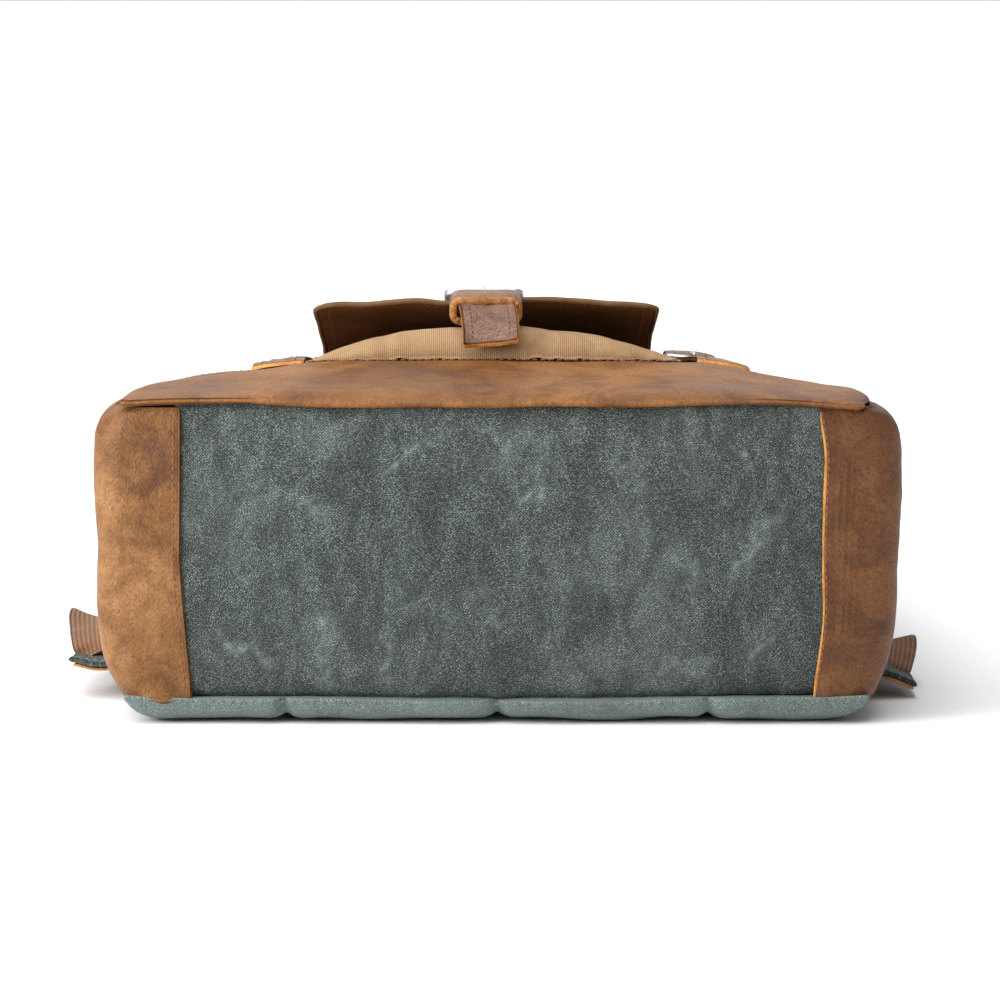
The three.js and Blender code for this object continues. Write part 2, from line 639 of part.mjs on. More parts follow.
for (const [side, label] of [[-1, 'left'], [1, 'right']]) {
  const x = side * LID_STRAP.x;
  const prongLift = lidBuckleLift + FRAME.thickness + GAP;
  add(`${label}_corner_patch`, cornerPatch(side), 'brown');
  add(`${label}_side_panel`, sidePanel(side), 'green');
  add(`${label}_lid_strap`, lidStrap(side), 'brown');
  add(`${label}_lid_buckle`, buckleFrame(frontZ, x, LID_STRAP.buckleY, lidBuckleLift), 'steel');
  add(`${label}_lid_prong`, buckleProng(frontZ, x, LID_STRAP.buckleY, prongLift), 'steel');
  add(`${label}_chape`, chape(side), 'brown');
  add(`${label}_lid_snap`, snapDisc(x, SNAP.y), 'steel');
  add(`${label}_chape_rivet`, rivetHead(x, RIVET.y), 'steel');
  add(`${label}_shoulder_pad`, shoulderPad(side), 'green');
  add(`${label}_adjuster`, adjuster(side), 'steel');
  add(`${label}_webbing`, webbing(side), 'tan');
  add(`${label}_strap_tab`, strapTab(side, TAB.low, TAB.high), 'green');
  add(`${label}_tab_backing`, strapTab(side, TAB.low - GAP - TAB.backing, TAB.low - GAP), 'brown');
}

// The origin is the middle of the underside of the bag's box.
const box = new THREE.Box3().setFromObject(bag);
bag.position.set(-(box.min.x + box.max.x) / 2, -(box.min.y + box.max.y) / 2, -box.min.z);

export default bag;
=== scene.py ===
"""A waxed-canvas and leather backpack lying on its back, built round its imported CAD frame.

Shapes are worked out in millimetres in the bag's own coordinates: x across the bag, y from its
bottom end towards its mouth, z from the ground up. metres() puts them into the frame.
"""
import math

import bpy
import numpy as np
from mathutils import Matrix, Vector


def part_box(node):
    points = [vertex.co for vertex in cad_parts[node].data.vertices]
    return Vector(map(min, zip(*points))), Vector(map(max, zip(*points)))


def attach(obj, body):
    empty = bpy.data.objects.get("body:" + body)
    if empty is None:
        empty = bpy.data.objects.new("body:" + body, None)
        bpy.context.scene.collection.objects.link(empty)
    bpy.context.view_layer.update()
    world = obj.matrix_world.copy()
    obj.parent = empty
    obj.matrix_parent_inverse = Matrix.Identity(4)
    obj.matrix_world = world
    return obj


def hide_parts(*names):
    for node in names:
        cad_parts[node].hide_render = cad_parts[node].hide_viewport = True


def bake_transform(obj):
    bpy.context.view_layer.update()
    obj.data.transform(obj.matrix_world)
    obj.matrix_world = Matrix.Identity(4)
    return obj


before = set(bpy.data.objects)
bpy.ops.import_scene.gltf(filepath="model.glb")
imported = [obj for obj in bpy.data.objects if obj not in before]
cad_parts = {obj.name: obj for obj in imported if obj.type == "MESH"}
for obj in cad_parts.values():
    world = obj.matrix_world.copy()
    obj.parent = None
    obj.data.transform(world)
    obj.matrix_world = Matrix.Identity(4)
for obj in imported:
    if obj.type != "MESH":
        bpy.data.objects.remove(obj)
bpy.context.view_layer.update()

MM = 0.001


def low(node):
    return np.array(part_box(node)[0]) / MM


def high(node):
    return np.array(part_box(node)[1]) / MM


# ------------------------------------------------------------------ dimensions from the frame

LIP = 3.0                                   # the padded lip rolls this far past the bottom end
BOTTOM_Y = low("back_panel")[1] + LIP       # the bottom end's place along the frame's Y


def lowest(node):
    """A node's lowest corner in the bag's own coordinates."""
    return low(node) - (0, BOTTOM_Y, 0)


def highest(node):
    return high(node) - (0, BOTTOM_Y, 0)


SEAM_HALF = high("base_band")[0]
BAND_TOP = highest("base_band")[1]
BAND_Z = high("base_band")[2]
MOUTH_Y = lowest("mouth_binding")[1]
MOUTH_SEAM_HALF = SEAM_HALF - 13.0
MOUTH_Z = 102.0
FRONT_SEAM_Z = 137.5
CROWN = 8.0
SLUMP = {-1: 2.3, 1: 4.6}                   # how far the front has settled along its left and right sides
SLUMP_FROM = {-1: (78.0, 112.0), 1: (80.0, 128.0)}
SIDE_BULGE = 11.5
BOTTOM_HALF = high("bottom_panel")[0]
BOTTOM_BULGE = 4.0
END_HEIGHT = 118.0                          # about how tall the bottom end is, seam to seam
PAD_DEPTH = 12.0                            # thickness of the quilted back
ARCH = (35.0, 80.0, 9.5)                    # the back leaves the ground between these, by this much
TAPER_START = 100.0
CORNER_RADIUS = 12.0
CORNER_TOP = highest("left_corner_patch")[1]

POCKET_HALF = high("front_pocket")[0] + 1.0
POCKET_X = -1.5
POCKET_LOW = lowest("front_pocket")[1]
POCKET_MOUTH = highest("front_pocket")[1]
FLAP_HALF = (high("pocket_flap")[0] - low("pocket_flap")[0]) / 2
FLAP_X = (high("pocket_flap")[0] + low("pocket_flap")[0]) / 2
FLAP_EDGE = lowest("pocket_flap")[1]
FLAP_HINGE = highest("pocket_flap")[1]
STRAP_WIDTH = high("flap_strap")[0] - low("flap_strap")[0]
LID_STRAP_X = (high("right_lid_strap")[0] + low("right_lid_strap")[0]) / 2
LID_STRAP_WIDTH = high("right_lid_strap")[0] - low("right_lid_strap")[0]
LID_STRAP_TIP = lowest("right_lid_strap")[1]
LID_STRAP_END = highest("right_lid_strap")[1]
LID_HALF = high("lid")[0]
LID_EDGE = lowest("lid")[1]
LID_BACK = highest("lid")[1]
LID_LOW = low("lid")[2]

LEATHER = 2.0
CANVAS = 1.4
TINY = 1e-12
RIM_SINK = 0.6                              # how far both faces of a sheet sink toward its rim
TUBE_EDGE = 5.0                             # a round piece counts as this far from any cut edge


def metres(points):
    """Bag coordinates in millimetres to the frame's metres."""
    moved = np.array(points, float)
    moved[..., 1] += BOTTOM_Y
    return moved * MM


# ------------------------------------------------------------------ small maths

def clamp(t):
    return np.clip(t, 0.0, 1.0)


def smooth(a, b, t):
    s = clamp((np.asarray(t, float) - a) / (b - a))
    return s * s * (3 - 2 * s)


def mix(a, b, t):
    return a + (b - a) * t


def waves(u, v, wavelength, seed, count=9):
    """Soft even noise of about unit size over two coordinates in millimetres."""
    rng = np.random.default_rng(seed)
    total = np.zeros(np.broadcast(u, v).shape)
    for _ in range(count):
        angle = rng.uniform(0, math.tau)
        phase = rng.uniform(0, math.tau)
        step = math.tau / (wavelength * rng.uniform(0.6, 1.7))
        total = total + np.sin(step * (u * math.cos(angle) + v * math.sin(angle)) + phase)
    return total / math.sqrt(count)


def wave_line(u, wavelength, seed, count=6):
    return waves(u, np.zeros_like(u), wavelength, seed, count)


def unit(vectors):
    """Vectors along the last axis, scaled to a length of one."""
    return vectors / (np.linalg.norm(vectors, axis=-1, keepdims=True) + TINY)


def grid_of(x, y, z):
    """Three coordinates, spread over the same rows and columns, as one grid of points."""
    return np.stack(np.broadcast_arrays(x, y, z), axis=2)


def squared(share, power):
    """A sine or cosine drawn out toward 1 and -1, which squares a circle off."""
    return np.sign(share) * np.abs(share) ** power


def round_angles(count):
    """Angles at even steps, once round."""
    return np.linspace(0, math.tau, count, endpoint=False)


def path_lengths(path):
    """The distance along a path to each of its points."""
    steps = np.linalg.norm(np.diff(path, axis=0), axis=1)
    return np.concatenate([[0], np.cumsum(steps)])


def read_off(values, lengths, wanted):
    """Each column of values at the wanted lengths along a path."""
    return np.stack([np.interp(wanted, lengths, column) for column in values.T], axis=1)


def rounded_outline(half_a, half_b, corner, steps):
    """A rectangle with round corners: each point with the way out of it, once round."""
    outline = []
    for sign_a, sign_b, start in ((1, 1, 0), (-1, 1, 90), (-1, -1, 180), (1, -1, 270)):
        for angle in np.radians(np.linspace(start, start + 90, steps)):
            out_a, out_b = math.cos(angle), math.sin(angle)
            point_a = sign_a * (half_a - corner) + corner * out_a
            point_b = sign_b * (half_b - corner) + corner * out_b
            outline.append((point_a, point_b, out_a, out_b))
    return outline


# ------------------------------------------------------------------ the bag's surfaces

def seam_half(y):
    return mix(SEAM_HALF, MOUTH_SEAM_HALF, smooth(TAPER_START, MOUTH_Y, y))


def back_lift(y):
    return ARCH[2] * smooth(ARCH[0], ARCH[1], y)


def back_seam(y):
    return PAD_DEPTH + back_lift(y)


def seam_sag(x):
    """The back seam hangs lower in the middle of the bottom end than at its corners."""
    return 2.4 * (1 - (x / SEAM_HALF) ** 2) - 0.8 - 0.35 * wave_line(x, 90, 7)


def slump(x):
    return sum(SLUMP[side] * smooth(*SLUMP_FROM[side], side * x) for side in (-1, 1))


def front_z(x, y):
    rising = FRONT_SEAM_Z + (BAND_Z - FRONT_SEAM_Z) * np.sin(math.pi / 2 * clamp(y / BAND_TOP))
    falling = mix(BAND_Z, MOUTH_Z, (y - BAND_TOP) / (MOUTH_Y - BAND_TOP))
    centre = np.where(y <= BAND_TOP, rising, falling)
    share = x / SEAM_HALF
    drop = CROWN * (0.25 * share ** 2 + 1.0 * share ** 6) + slump(x)
    return centre - drop * clamp(y / BAND_TOP)


def side_bulge(v):
    return SIDE_BULGE * (1 - np.abs(2 * v - 1) ** np.where(v > 0.5, 12.0, 4.0))


def wall_z(v, y, cover=LEATHER, side=1):
    return mix(back_seam(y), front_z(side * seam_half(y), y) - cover, v)


def end_bulge(x, v):
    return BOTTOM_BULGE * (1 - np.abs(2 * v - 1) ** 3) * (1 - (x / SEAM_HALF) ** 4)


# ------------------------------------------------------------------ meshes

def surface_normals(grid, facing):
    """Unit normals of a grid of points, turned to the side of the direction given."""
    normal = unit(np.cross(np.gradient(grid, axis=0), np.gradient(grid, axis=1)))
    if np.sum(normal * np.asarray(facing, float)) < 0:
        normal = -normal
    return normal


def arc_lengths(grid):
    """Distance along each direction of a grid, which the weave follows."""
    along_u = np.zeros(grid.shape[:2])
    along_v = np.zeros(grid.shape[:2])
    steps_u = np.linalg.norm(np.diff(grid, axis=0), axis=2).mean(axis=1)
    steps_v = np.linalg.norm(np.diff(grid, axis=1), axis=2).mean(axis=0)
    along_u[1:] = np.cumsum(steps_u)[:, None]
    along_v[:, 1:] = np.cumsum(steps_v)[None, :]
    return along_u, along_v


def cloth_of(grid):
    """Each point's distance along the threads both ways and from the nearest edge, in metres."""
    along_u, along_v = arc_lengths(grid)
    from_u = np.minimum(along_u, along_u[-1:, :] - along_u)
    from_v = np.minimum(along_v, along_v[:, -1:] - along_v)
    return np.stack([along_u, along_v, np.minimum(from_u, from_v)], axis=2).reshape(-1, 3) * MM


def make_object(name, vertices, faces, materials, indices, cloth, wear=None):
    mesh = bpy.data.meshes.new(name)
    mesh.from_pydata(vertices.tolist(), [], faces)
    for material in materials:
        mesh.materials.append(material)
    mesh.polygons.foreach_set("material_index", indices)
    mesh.polygons.foreach_set("use_smooth", [True] * len(mesh.polygons))
    attribute = mesh.attributes.new("cloth", "FLOAT_VECTOR", "POINT")
    attribute.data.foreach_set("vector", np.asarray(cloth, np.float32).ravel())
    if wear is not None:
        attribute = mesh.attributes.new("wear", "FLOAT", "POINT")
        attribute.data.foreach_set("value", np.asarray(wear, np.float32))
    mesh.validate()
    mesh.update()
    made = bpy.data.objects.new(name, mesh)
    bpy.context.scene.collection.objects.link(made)
    return made


def stand_in(made, node):
    """A piece stands in for its CAD node, which is hidden."""
    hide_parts(node)


def border_loop(rows, columns):
    """Grid indices round the border, once, in order."""
    indices = np.arange(rows * columns).reshape(rows, columns)
    sides = (indices[:-1, 0], indices[-1, :-1], indices[:0:-1, -1], indices[0, :0:-1])
    return np.concatenate(sides).tolist()


def quad_faces(rows, columns):
    """The corners of each cell of a grid."""
    i, j = np.meshgrid(np.arange(rows - 1), np.arange(columns - 1), indexing="ij")
    corner = (i * columns + j).ravel()
    return np.stack([corner, corner + columns, corner + columns + 1, corner + 1], axis=1)


def skived(grid, bevel):
    """A grid whose edges u0, u1, v0 and v1 are drawn in by the bevel, in millimetres."""
    outer = grid.copy()
    edges = ((np.s_[0, :], np.s_[1, :]), (np.s_[-1, :], np.s_[-2, :]),
             (np.s_[:, 0], np.s_[:, 1]), (np.s_[:, -1], np.s_[:, -2]))
    for amount, (row, inside) in zip(bevel, edges):
        if amount:
            outer[row] = outer[row] + unit(outer[inside] - outer[row]) * amount
    return outer


def rounded_rim(outer, inner, normal, loop, centre, round_edge):
    """A ring of points outside the border, with both faces sunk a little toward it."""
    ring = (outer[loop] + inner[loop]) / 2
    tangent = np.roll(ring, -1, axis=0) - np.roll(ring, 1, axis=0)
    out = unit(np.cross(tangent, normal[loop]))
    if np.sum(out * (ring - centre)) < 0:
        out = -out
    depth = np.linalg.norm(outer[loop] - inner[loop], axis=1)[:, None]
    sink = normal[loop] * depth * round_edge * RIM_SINK
    outer[loop] -= sink
    inner[loop] += sink
    return ring + out * depth * round_edge


def sheet_object(name, grid, thickness, facing, materials, body, bevel=(0, 0, 0, 0), round_edge=0.3,
                 rims=(2, 2, 2, 2), wear=None):
    """A sheet of cloth or leather whose outer face is the grid. materials are its outer face, inner
    face and cut edge. bevel skives the outer face back at u0, u1, v0 and v1. rims are the materials
    of the edges v0, u1, v1 and u0."""
    rows, columns = grid.shape[:2]
    count = rows * columns
    normal = surface_normals(grid, facing)
    outer = skived(grid, bevel).reshape(-1, 3)
    inner = (grid - normal * thickness).reshape(-1, 3)
    normal = normal.reshape(-1, 3)
    loop = border_loop(rows, columns)
    ring = rounded_rim(outer, inner, normal, loop, grid.reshape(-1, 3).mean(axis=0), round_edge)
    quads = quad_faces(rows, columns)
    turned = np.cross(outer[columns] - outer[0], outer[1] - outer[0]) @ normal[0] < 0
    if turned:
        quads = quads[:, ::-1]
    faces = quads.tolist() + (quads[:, ::-1] + count).tolist()
    indices = [0] * len(quads) + [1] * len(quads)
    rim_slots = np.repeat(rims, (rows - 1, columns - 1, rows - 1, columns - 1)).tolist()
    for k, slot in enumerate(rim_slots):
        n = (k + 1) % len(loop)
        top, next_top = loop[k], loop[n]
        middle, next_middle = 2 * count + k, 2 * count + n
        rim = [[top, next_top, next_middle, middle], [middle, next_middle, count + next_top, count + top]]
        faces += [face[::-1] for face in rim] if turned else rim
        indices += [slot] * 2
    if wear is not None:
        wear = np.concatenate([wear.ravel(), np.zeros(count + len(loop))])
    cloth = cloth_of(grid)
    made = make_object(name, metres(np.concatenate([outer, inner, ring])), faces, materials, indices,
                       np.concatenate([cloth, cloth, cloth[loop]]), wear)
    if body:
        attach(made, body)
    return made


def tube_object(name, rings, materials, body, closed=False, indices=None):
    """A solid through rings of points of equal length, capped unless it closes on itself."""
    rings = np.asarray(rings, float)
    rows, columns = rings.shape[:2]
    last = rows if closed else rows - 1
    faces = []
    for i in range(last):
        n = (i + 1) % rows
        for j in range(columns):
            k = (j + 1) % columns
            faces.append([i * columns + j, i * columns + k, n * columns + k, n * columns + j])
    slots = (indices or [0] * columns) * last
    flat = rings.reshape(-1, 3)
    corners = flat[np.array(faces)].transpose(1, 0, 2)
    halves = np.cross(corners[1], corners[2]) + np.cross(corners[2], corners[3])
    if not closed:
        faces.append(list(range(columns))[::-1])
        faces.append([(rows - 1) * columns + j for j in range(columns)])
        slots += [len(materials) - 1] * 2
    if np.sum(corners[0] * halves) < 0:
        faces = [face[::-1] for face in faces]
    sides = np.linalg.norm(np.roll(rings[0], -1, axis=0) - rings[0], axis=1)
    around = np.concatenate([[0], np.cumsum(sides)[:-1]])
    cloth = grid_of(path_lengths(rings.mean(axis=1))[:, None], around[None, :], TUBE_EDGE)
    made = make_object(name, metres(flat), faces, materials, slots, cloth.reshape(-1, 3) * MM)
    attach(made, body)
    return made


def join_copies(name, template, template_faces, places, material, body):
    """Many copies of one small solid as one object. places are 3x4 affine rows in millimetres."""
    count = len(template)
    turned = np.einsum("nij,kj->nki", places[:, :, :3], template) + places[:, None, :, 3]
    starts = np.arange(len(places))[:, None, None] * count
    faces = (np.asarray(template_faces)[None] + starts).reshape(-1, 4)
    cloth = np.zeros((len(places) * count, 3))
    cloth[:, 0] = np.repeat(np.arange(len(places)), count)
    made = make_object(name, metres(turned.reshape(-1, 3)), faces.tolist(), [material], [0] * len(faces),
                       cloth * MM)
    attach(made, body)
    return made


def capsule(segments=6):
    """A unit stitch: a thread that dips into the cloth at both ends."""
    half = [(0.3, 1.0, 0.15), (0.8, 0.8, -0.25), (1.0, 0.25, -0.9)]
    profile = [(-along, radius, rise) for along, radius, rise in half[::-1]] + half
    points = []
    for along, radius, rise in profile:
        for k in range(segments):
            angle = math.tau * k / segments
            points.append([along, radius * math.cos(angle), radius * math.sin(angle) + rise])
    faces = []
    for i in range(len(profile) - 1):
        for k in range(segments):
            n = (k + 1) % segments
            faces.append([i * segments + k, i * segments + n, (i + 1) * segments + n, (i + 1) * segments + k])
    return np.array(points), faces


STITCH, STITCH_FACES = capsule()


def resample(path, pitch):
    """Points at an even pitch along a path."""
    path = np.asarray(path, float)
    lengths = path_lengths(path)
    count = max(2, int(lengths[-1] / pitch) + 1)
    return read_off(path, lengths, np.linspace(0, lengths[-1], count))


def stitches(name, rows, material, body, pitch=3.4, length=2.5, radius=0.38, sink=0.1):
    """Rows of stitches. Each row is a path and the normals of the surface along it."""
    places = []
    for path, normals in rows:
        joined = resample(path, pitch)
        lengths = path_lengths(path)
        normal = read_off(normals, lengths, np.linspace(0, lengths[-1], len(joined)))
        for start, end, above in zip(joined[:-1], joined[1:], normal):
            direction = unit(end - start)
            up = unit(above - direction * (above @ direction))
            across = np.cross(up, direction)
            centre = (start + end) / 2 - up * sink
            places.append(np.stack([direction * length / 2, across * radius, up * radius, centre], axis=1))
    return join_copies(name, STITCH, STITCH_FACES, np.array(places), material, body)


def row_on_grid(grid, facing, index, axis, start=0, stop=None, offset=0.0):
    """A path along a grid row for stitches, with its normals."""
    normal = surface_normals(grid, facing)
    take = np.s_[index, start:stop] if axis == 1 else np.s_[start:stop, index]
    return grid[take] + normal[take] * offset, normal[take]


def spline(points, count):
    """A smooth Catmull-Rom path through points, at even steps."""
    p = np.asarray(points, float)
    p = np.concatenate([[2 * p[0] - p[1]], p, [2 * p[-1] - p[-2]]])
    dense = []
    for k in range(1, len(p) - 2):
        t = np.linspace(0, 1, 24, endpoint=False)[:, None]
        a, b, c, d = p[k - 1], p[k], p[k + 1], p[k + 2]
        dense.append(0.5 * (2 * b + (c - a) * t + (2 * a - 5 * b + 4 * c - d) * t ** 2
                            + (3 * b - a - 3 * c + d) * t ** 3))
    dense = np.concatenate(dense + [p[-2:-1]])
    lengths = path_lengths(dense)
    return read_off(dense, lengths, np.linspace(0, lengths[-1], count))


def ribbon_grid(path, across, width, cup=0.0, columns=15):
    """A flat strap's top face: width across the path, its edges lower than its middle by cup."""
    along = unit(np.gradient(path, axis=0))
    side = np.asarray(across, float) * np.ones_like(path)
    side = unit(side - along * np.sum(side * along, axis=1, keepdims=True))
    up = np.cross(side, along)
    t = np.linspace(-1, 1, columns)[None, :, None]
    return path[:, None] + side[:, None] * t * width / 2 - up[:, None] * cup * t ** 2


# ------------------------------------------------------------------ materials

MIX_COLOUR_A, MIX_COLOUR_B, MIX_COLOUR_RESULT = 6, 7, 2     # the mix node's colour sockets


class Shader:
    """A node material built by short calls."""

    def __init__(self, name):
        self.material = bpy.data.materials.new(name)
        self.material.use_nodes = True
        self.tree = self.material.node_tree
        self.tree.nodes.clear()
        self.output = self.tree.nodes.new("ShaderNodeOutputMaterial")
        self.bsdf = self.tree.nodes.new("ShaderNodeBsdfPrincipled")
        self.link(self.bsdf.outputs[0], self.output.inputs["Surface"])

    def link(self, a, b):
        self.tree.links.new(a, b)

    def put(self, socket, value):
        if isinstance(value, bpy.types.NodeSocket):
            self.link(value, socket)
        elif isinstance(value, (tuple, list)) and len(value) == 3 and socket.type == "RGBA":
            socket.default_value = (*value, 1)
        else:
            socket.default_value = value

    def node(self, kind, inputs=(), **settings):
        """A new node with its settings, and its inputs as (name or number, value)."""
        made = self.tree.nodes.new(kind)
        for name, value in settings.items():
            setattr(made, name, value)
        for name, value in inputs:
            self.put(made.inputs[name], value)
        return made

    def attribute(self, name="cloth", output="Vector"):
        return self.node("ShaderNodeAttribute", attribute_name=name).outputs[output]

    def object_place(self):
        return self.node("ShaderNodeTexCoord").outputs["Object"]

    def parts(self, vector):
        return self.node("ShaderNodeSeparateXYZ", [(0, vector)]).outputs

    def stretch(self, vector, scale, turn=(0, 0, 0)):
        inputs = (("Vector", vector), ("Scale", scale), ("Rotation", turn))
        return self.node("ShaderNodeMapping", inputs).outputs[0]

    def noise(self, vector, scale, detail=4.0, roughness=0.55, distortion=0.0, kind="FBM"):
        inputs = (("Vector", vector), ("Scale", scale), ("Detail", detail), ("Roughness", roughness),
                  ("Distortion", distortion))
        return self.node("ShaderNodeTexNoise", inputs, noise_type=kind).outputs["Fac"]

    def voronoi(self, vector, scale):
        return self.node("ShaderNodeTexVoronoi", (("Vector", vector), ("Scale", scale))).outputs["Distance"]

    def math(self, kind, a, b=0.0, c=0.0):
        return self.node("ShaderNodeMath", enumerate((a, b, c)), operation=kind).outputs[0]

    def add(self, a, b):
        return self.math("ADD", a, b)

    def times(self, a, b):
        return self.math("MULTIPLY", a, b)

    def sine(self, angle):
        return self.math("SINE", angle)

    def ramp(self, factor, stops):
        """Stops are (place, colour or grey)."""
        node = self.node("ShaderNodeValToRGB", [(0, factor)])
        elements = node.color_ramp.elements
        while len(elements) < len(stops):
            elements.new(0.5)
        for element, (place, value) in zip(elements, stops):
            element.position = place
            colour = value if isinstance(value, (tuple, list)) else (value,) * 3
            element.color = (*colour, 1)
        return node.outputs["Color"]

    def level(self, factor, a, b, to_a=0.0, to_b=1.0):
        return self.node("ShaderNodeMapRange", enumerate((factor, a, b, to_a, to_b))).outputs[0]

    def blend(self, factor, a, b):
        inputs = (("Factor", factor), (MIX_COLOUR_A, a), (MIX_COLOUR_B, b))
        return self.node("ShaderNodeMix", inputs, data_type="RGBA").outputs[MIX_COLOUR_RESULT]

    def bump(self, height, strength, distance, below=None):
        inputs = [("Strength", strength), ("Distance", distance), ("Height", height)]
        if below is not None:
            inputs.append(("Normal", below))
        return self.node("ShaderNodeBump", inputs).outputs[0]

    def finish(self, colour, roughness, normal=None, **constants):
        self.put(self.bsdf.inputs["Base Color"], colour)
        self.put(self.bsdf.inputs["Roughness"], roughness)
        if normal is not None:
            self.link(normal, self.bsdf.inputs["Normal"])
        for name, value in constants.items():
            self.put(self.bsdf.inputs[name.replace("_", " ")], value)
        return self.material


def rgb(red, green, blue):
    """A colour given as screen values from 0 to 255, in linear light."""
    return tuple(((level / 255 + 0.055) / 1.055) ** 2.4 for level in (red, green, blue))


def scaled(colour, *factors):
    """A colour times one factor, or a factor each for red, green and blue."""
    each = factors if len(factors) == 3 else factors * 3
    return tuple(min(1.0, level * factor) for level, factor in zip(colour, each))


def leather(name, light, middle, dark, gloss=0.45, creases=1.0):
    """Oiled pull-up leather: cloudy tone, fine grain, pale scuffs and soft creases, whose lines are darkened
    with painted shade.
    """
    s = Shader(name)
    place = s.object_place()
    cloud = s.noise(place, 14, 5, 0.62, 0.5)
    patch = s.noise(place, 48, 5, 0.65, 1.0)
    fine = s.noise(place, 700, 5, 0.7)
    tone = s.add(s.times(cloud, 0.5), s.times(patch, 0.5))
    colour = s.ramp(tone, [(0.385, dark), (0.5, middle), (0.615, light)])
    redder = s.level(patch, 0.52, 0.72)
    colour = s.blend(s.times(redder, 0.35), colour, scaled(dark, 1.15, 0.85, 0.8))
    deepest = scaled(dark, 0.5, 0.45, 0.4)
    colour = s.blend(s.level(fine, 0.46, 0.66, 0.0, 0.5), colour, deepest)
    # Painted shade: the crease lines darken the colour toward deepest, besides indenting the bump
    fold = s.noise(s.stretch(place, (1, 1, 0.35), (0.3, 0.2, 0.5)), 75, 3, 0.5, 2.2, "RIDGED_MULTIFRACTAL")
    line = s.level(fold, 1.1, 1.5)
    colour = s.blend(s.times(line, 0.35 * creases), colour, deepest)
    scuff = s.noise(s.stretch(place, (0.6, 1.3, 1), (0.4, 0.1, 0.9)), 520, 3, 0.6, 1.0)
    rub = s.times(s.level(scuff, 0.6, 0.75), s.level(cloud, 0.4, 0.65))
    colour = s.blend(s.times(rub, 0.35), colour, scaled(light, 1.5, 1.5, 1.6))
    edge = s.parts(s.attribute())[2]
    worn = s.times(s.level(edge, 0.0, 0.0016, 1.0, 0.0), 0.35)
    colour = s.blend(worn, colour, scaled(dark, 0.6, 0.55, 0.5))
    pores = s.voronoi(place, 1100)
    grain = s.noise(place, 700, 4, 0.65)
    height = s.add(s.times(pores, 0.8), grain)
    normal = s.bump(height, 0.5, 0.0006)
    normal = s.bump(s.times(fold, -1.0), 0.22 * creases, 0.0012, normal)
    normal = s.bump(patch, 0.25, 0.002, normal)
    roughness = s.level(s.add(cloud, s.times(fine, 0.4)), 0.4, 1.0, gloss - 0.07, gloss + 0.12)
    return s.finish(colour, roughness, normal, Specular_IOR_Level=0.3)


def raw_edge(name, light, dark):
    """The cut edge of leather: bright, fibrous and matt."""
    s = Shader(name)
    place = s.object_place()
    fibres = s.noise(place, 900, 5, 0.7, 0.6)
    patch = s.noise(place, 90, 3)
    colour = s.ramp(s.add(s.times(fibres, 0.6), s.times(patch, 0.4)),
                    [(0.38, dark), (0.6, light)])
    return s.finish(colour, 0.85, s.bump(fibres, 0.5, 0.0006), Specular_IOR_Level=0.25)


def canvas(name, base, fleck, shade, pitch=0.62, ribbed=0.0, crease=0.5, mottle=0.14, roughness=0.78,
           contrast=1.0, shine=0.2):
    """Waxed plain-weave canvas. The weave follows the cloth attribute, in metres along its threads."""
    s = Shader(name)
    thread = s.attribute()
    place = s.object_place()
    u, v, _ = s.parts(thread)
    wobble = s.times(s.noise(thread, 160, 2), 0.0011)
    step = 1000 / pitch
    warp = s.sine(s.times(s.add(u, wobble), math.pi * step))
    weft = s.sine(s.times(s.add(v, wobble), math.pi * step))
    cross = s.times(warp, weft)
    across = s.noise(s.stretch(thread, (0.5, 1, 1)), 2300, 1, 0.6)
    along = s.noise(s.stretch(thread, (1, 0.5, 1)), 2300, 1, 0.6)
    slub = s.math("MAXIMUM", across, along)
    grains = s.noise(thread, 1800, 2, 0.7)
    cloud = s.noise(place, 26, 6, 0.62, 0.5)
    smear = s.noise(s.stretch(place, (1, 1, 0.5), (0.2, 0.5, 0.7)), 75, 4, 0.6, 1.4)
    tone = s.add(s.times(cloud, 0.6), s.times(smear, 0.4))
    worn = tuple(mix(b, f, mottle) for b, f in zip(base, fleck))
    deep = tuple(mix(b, d, 0.6) for b, d in zip(base, shade))
    colour = s.ramp(tone, [(0.36, deep), (0.5, base), (0.66, worn)])
    # Painted shade: the gaps between the threads are darkened in colour
    gap = s.level(cross, -0.8, 0.35, 0.6 * contrast, 0.0)
    colour = s.blend(gap, colour, scaled(shade, 0.4))
    raised = s.times(s.level(cross, -0.6, 0.6, 0.4, 1.0), s.level(slub, 0.55, 0.68))
    raised = s.times(raised, s.level(smear, 0.4, 0.6, 0.55, 1.0))
    colour = s.blend(s.times(raised, 0.85 * contrast), colour, fleck)
    dark_amount = s.times(s.level(grains, 0.5, 0.36), 0.9 * contrast)
    colour = s.blend(dark_amount, colour, scaled(shade, 0.4))
    crack = s.noise(s.stretch(place, (1, 1, 1), (0.7, 0.3, 0.4)), 30, 4, 0.5, 1.8, "RIDGED_MULTIFRACTAL")
    crack_line = s.times(s.level(crack, 1.32, 1.6), s.level(cloud, 0.42, 0.58))
    colour = s.blend(s.times(crack_line, crease), colour, fleck)
    rubbed = s.times(s.attribute("wear", "Fac"), s.level(grains, 0.35, 0.6, 0.2, 1.0))
    colour = s.blend(s.times(rubbed, 0.55), colour, fleck)
    height = s.add(cross, s.times(slub, 1.4))
    if ribbed:
        rib = s.sine(s.times(u, math.tau * 1000 / ribbed))
        height = s.add(height, s.times(rib, 1.6))
        # Painted shade: the troughs between the ribs are darkened in colour
        colour = s.blend(s.level(rib, -1.0, 0.2, 0.4, 0.0), colour, scaled(shade, 0.5))
    normal = s.bump(height, 0.35, 0.00035)
    normal = s.bump(tone, 0.35, 0.0022, normal)
    rough = s.level(tone, 0.35, 0.65, roughness + 0.06, roughness - 0.08)
    return s.finish(colour, rough, normal, Specular_IOR_Level=shine, Sheen_Weight=0.3 * shine,
                    Sheen_Roughness=0.5)


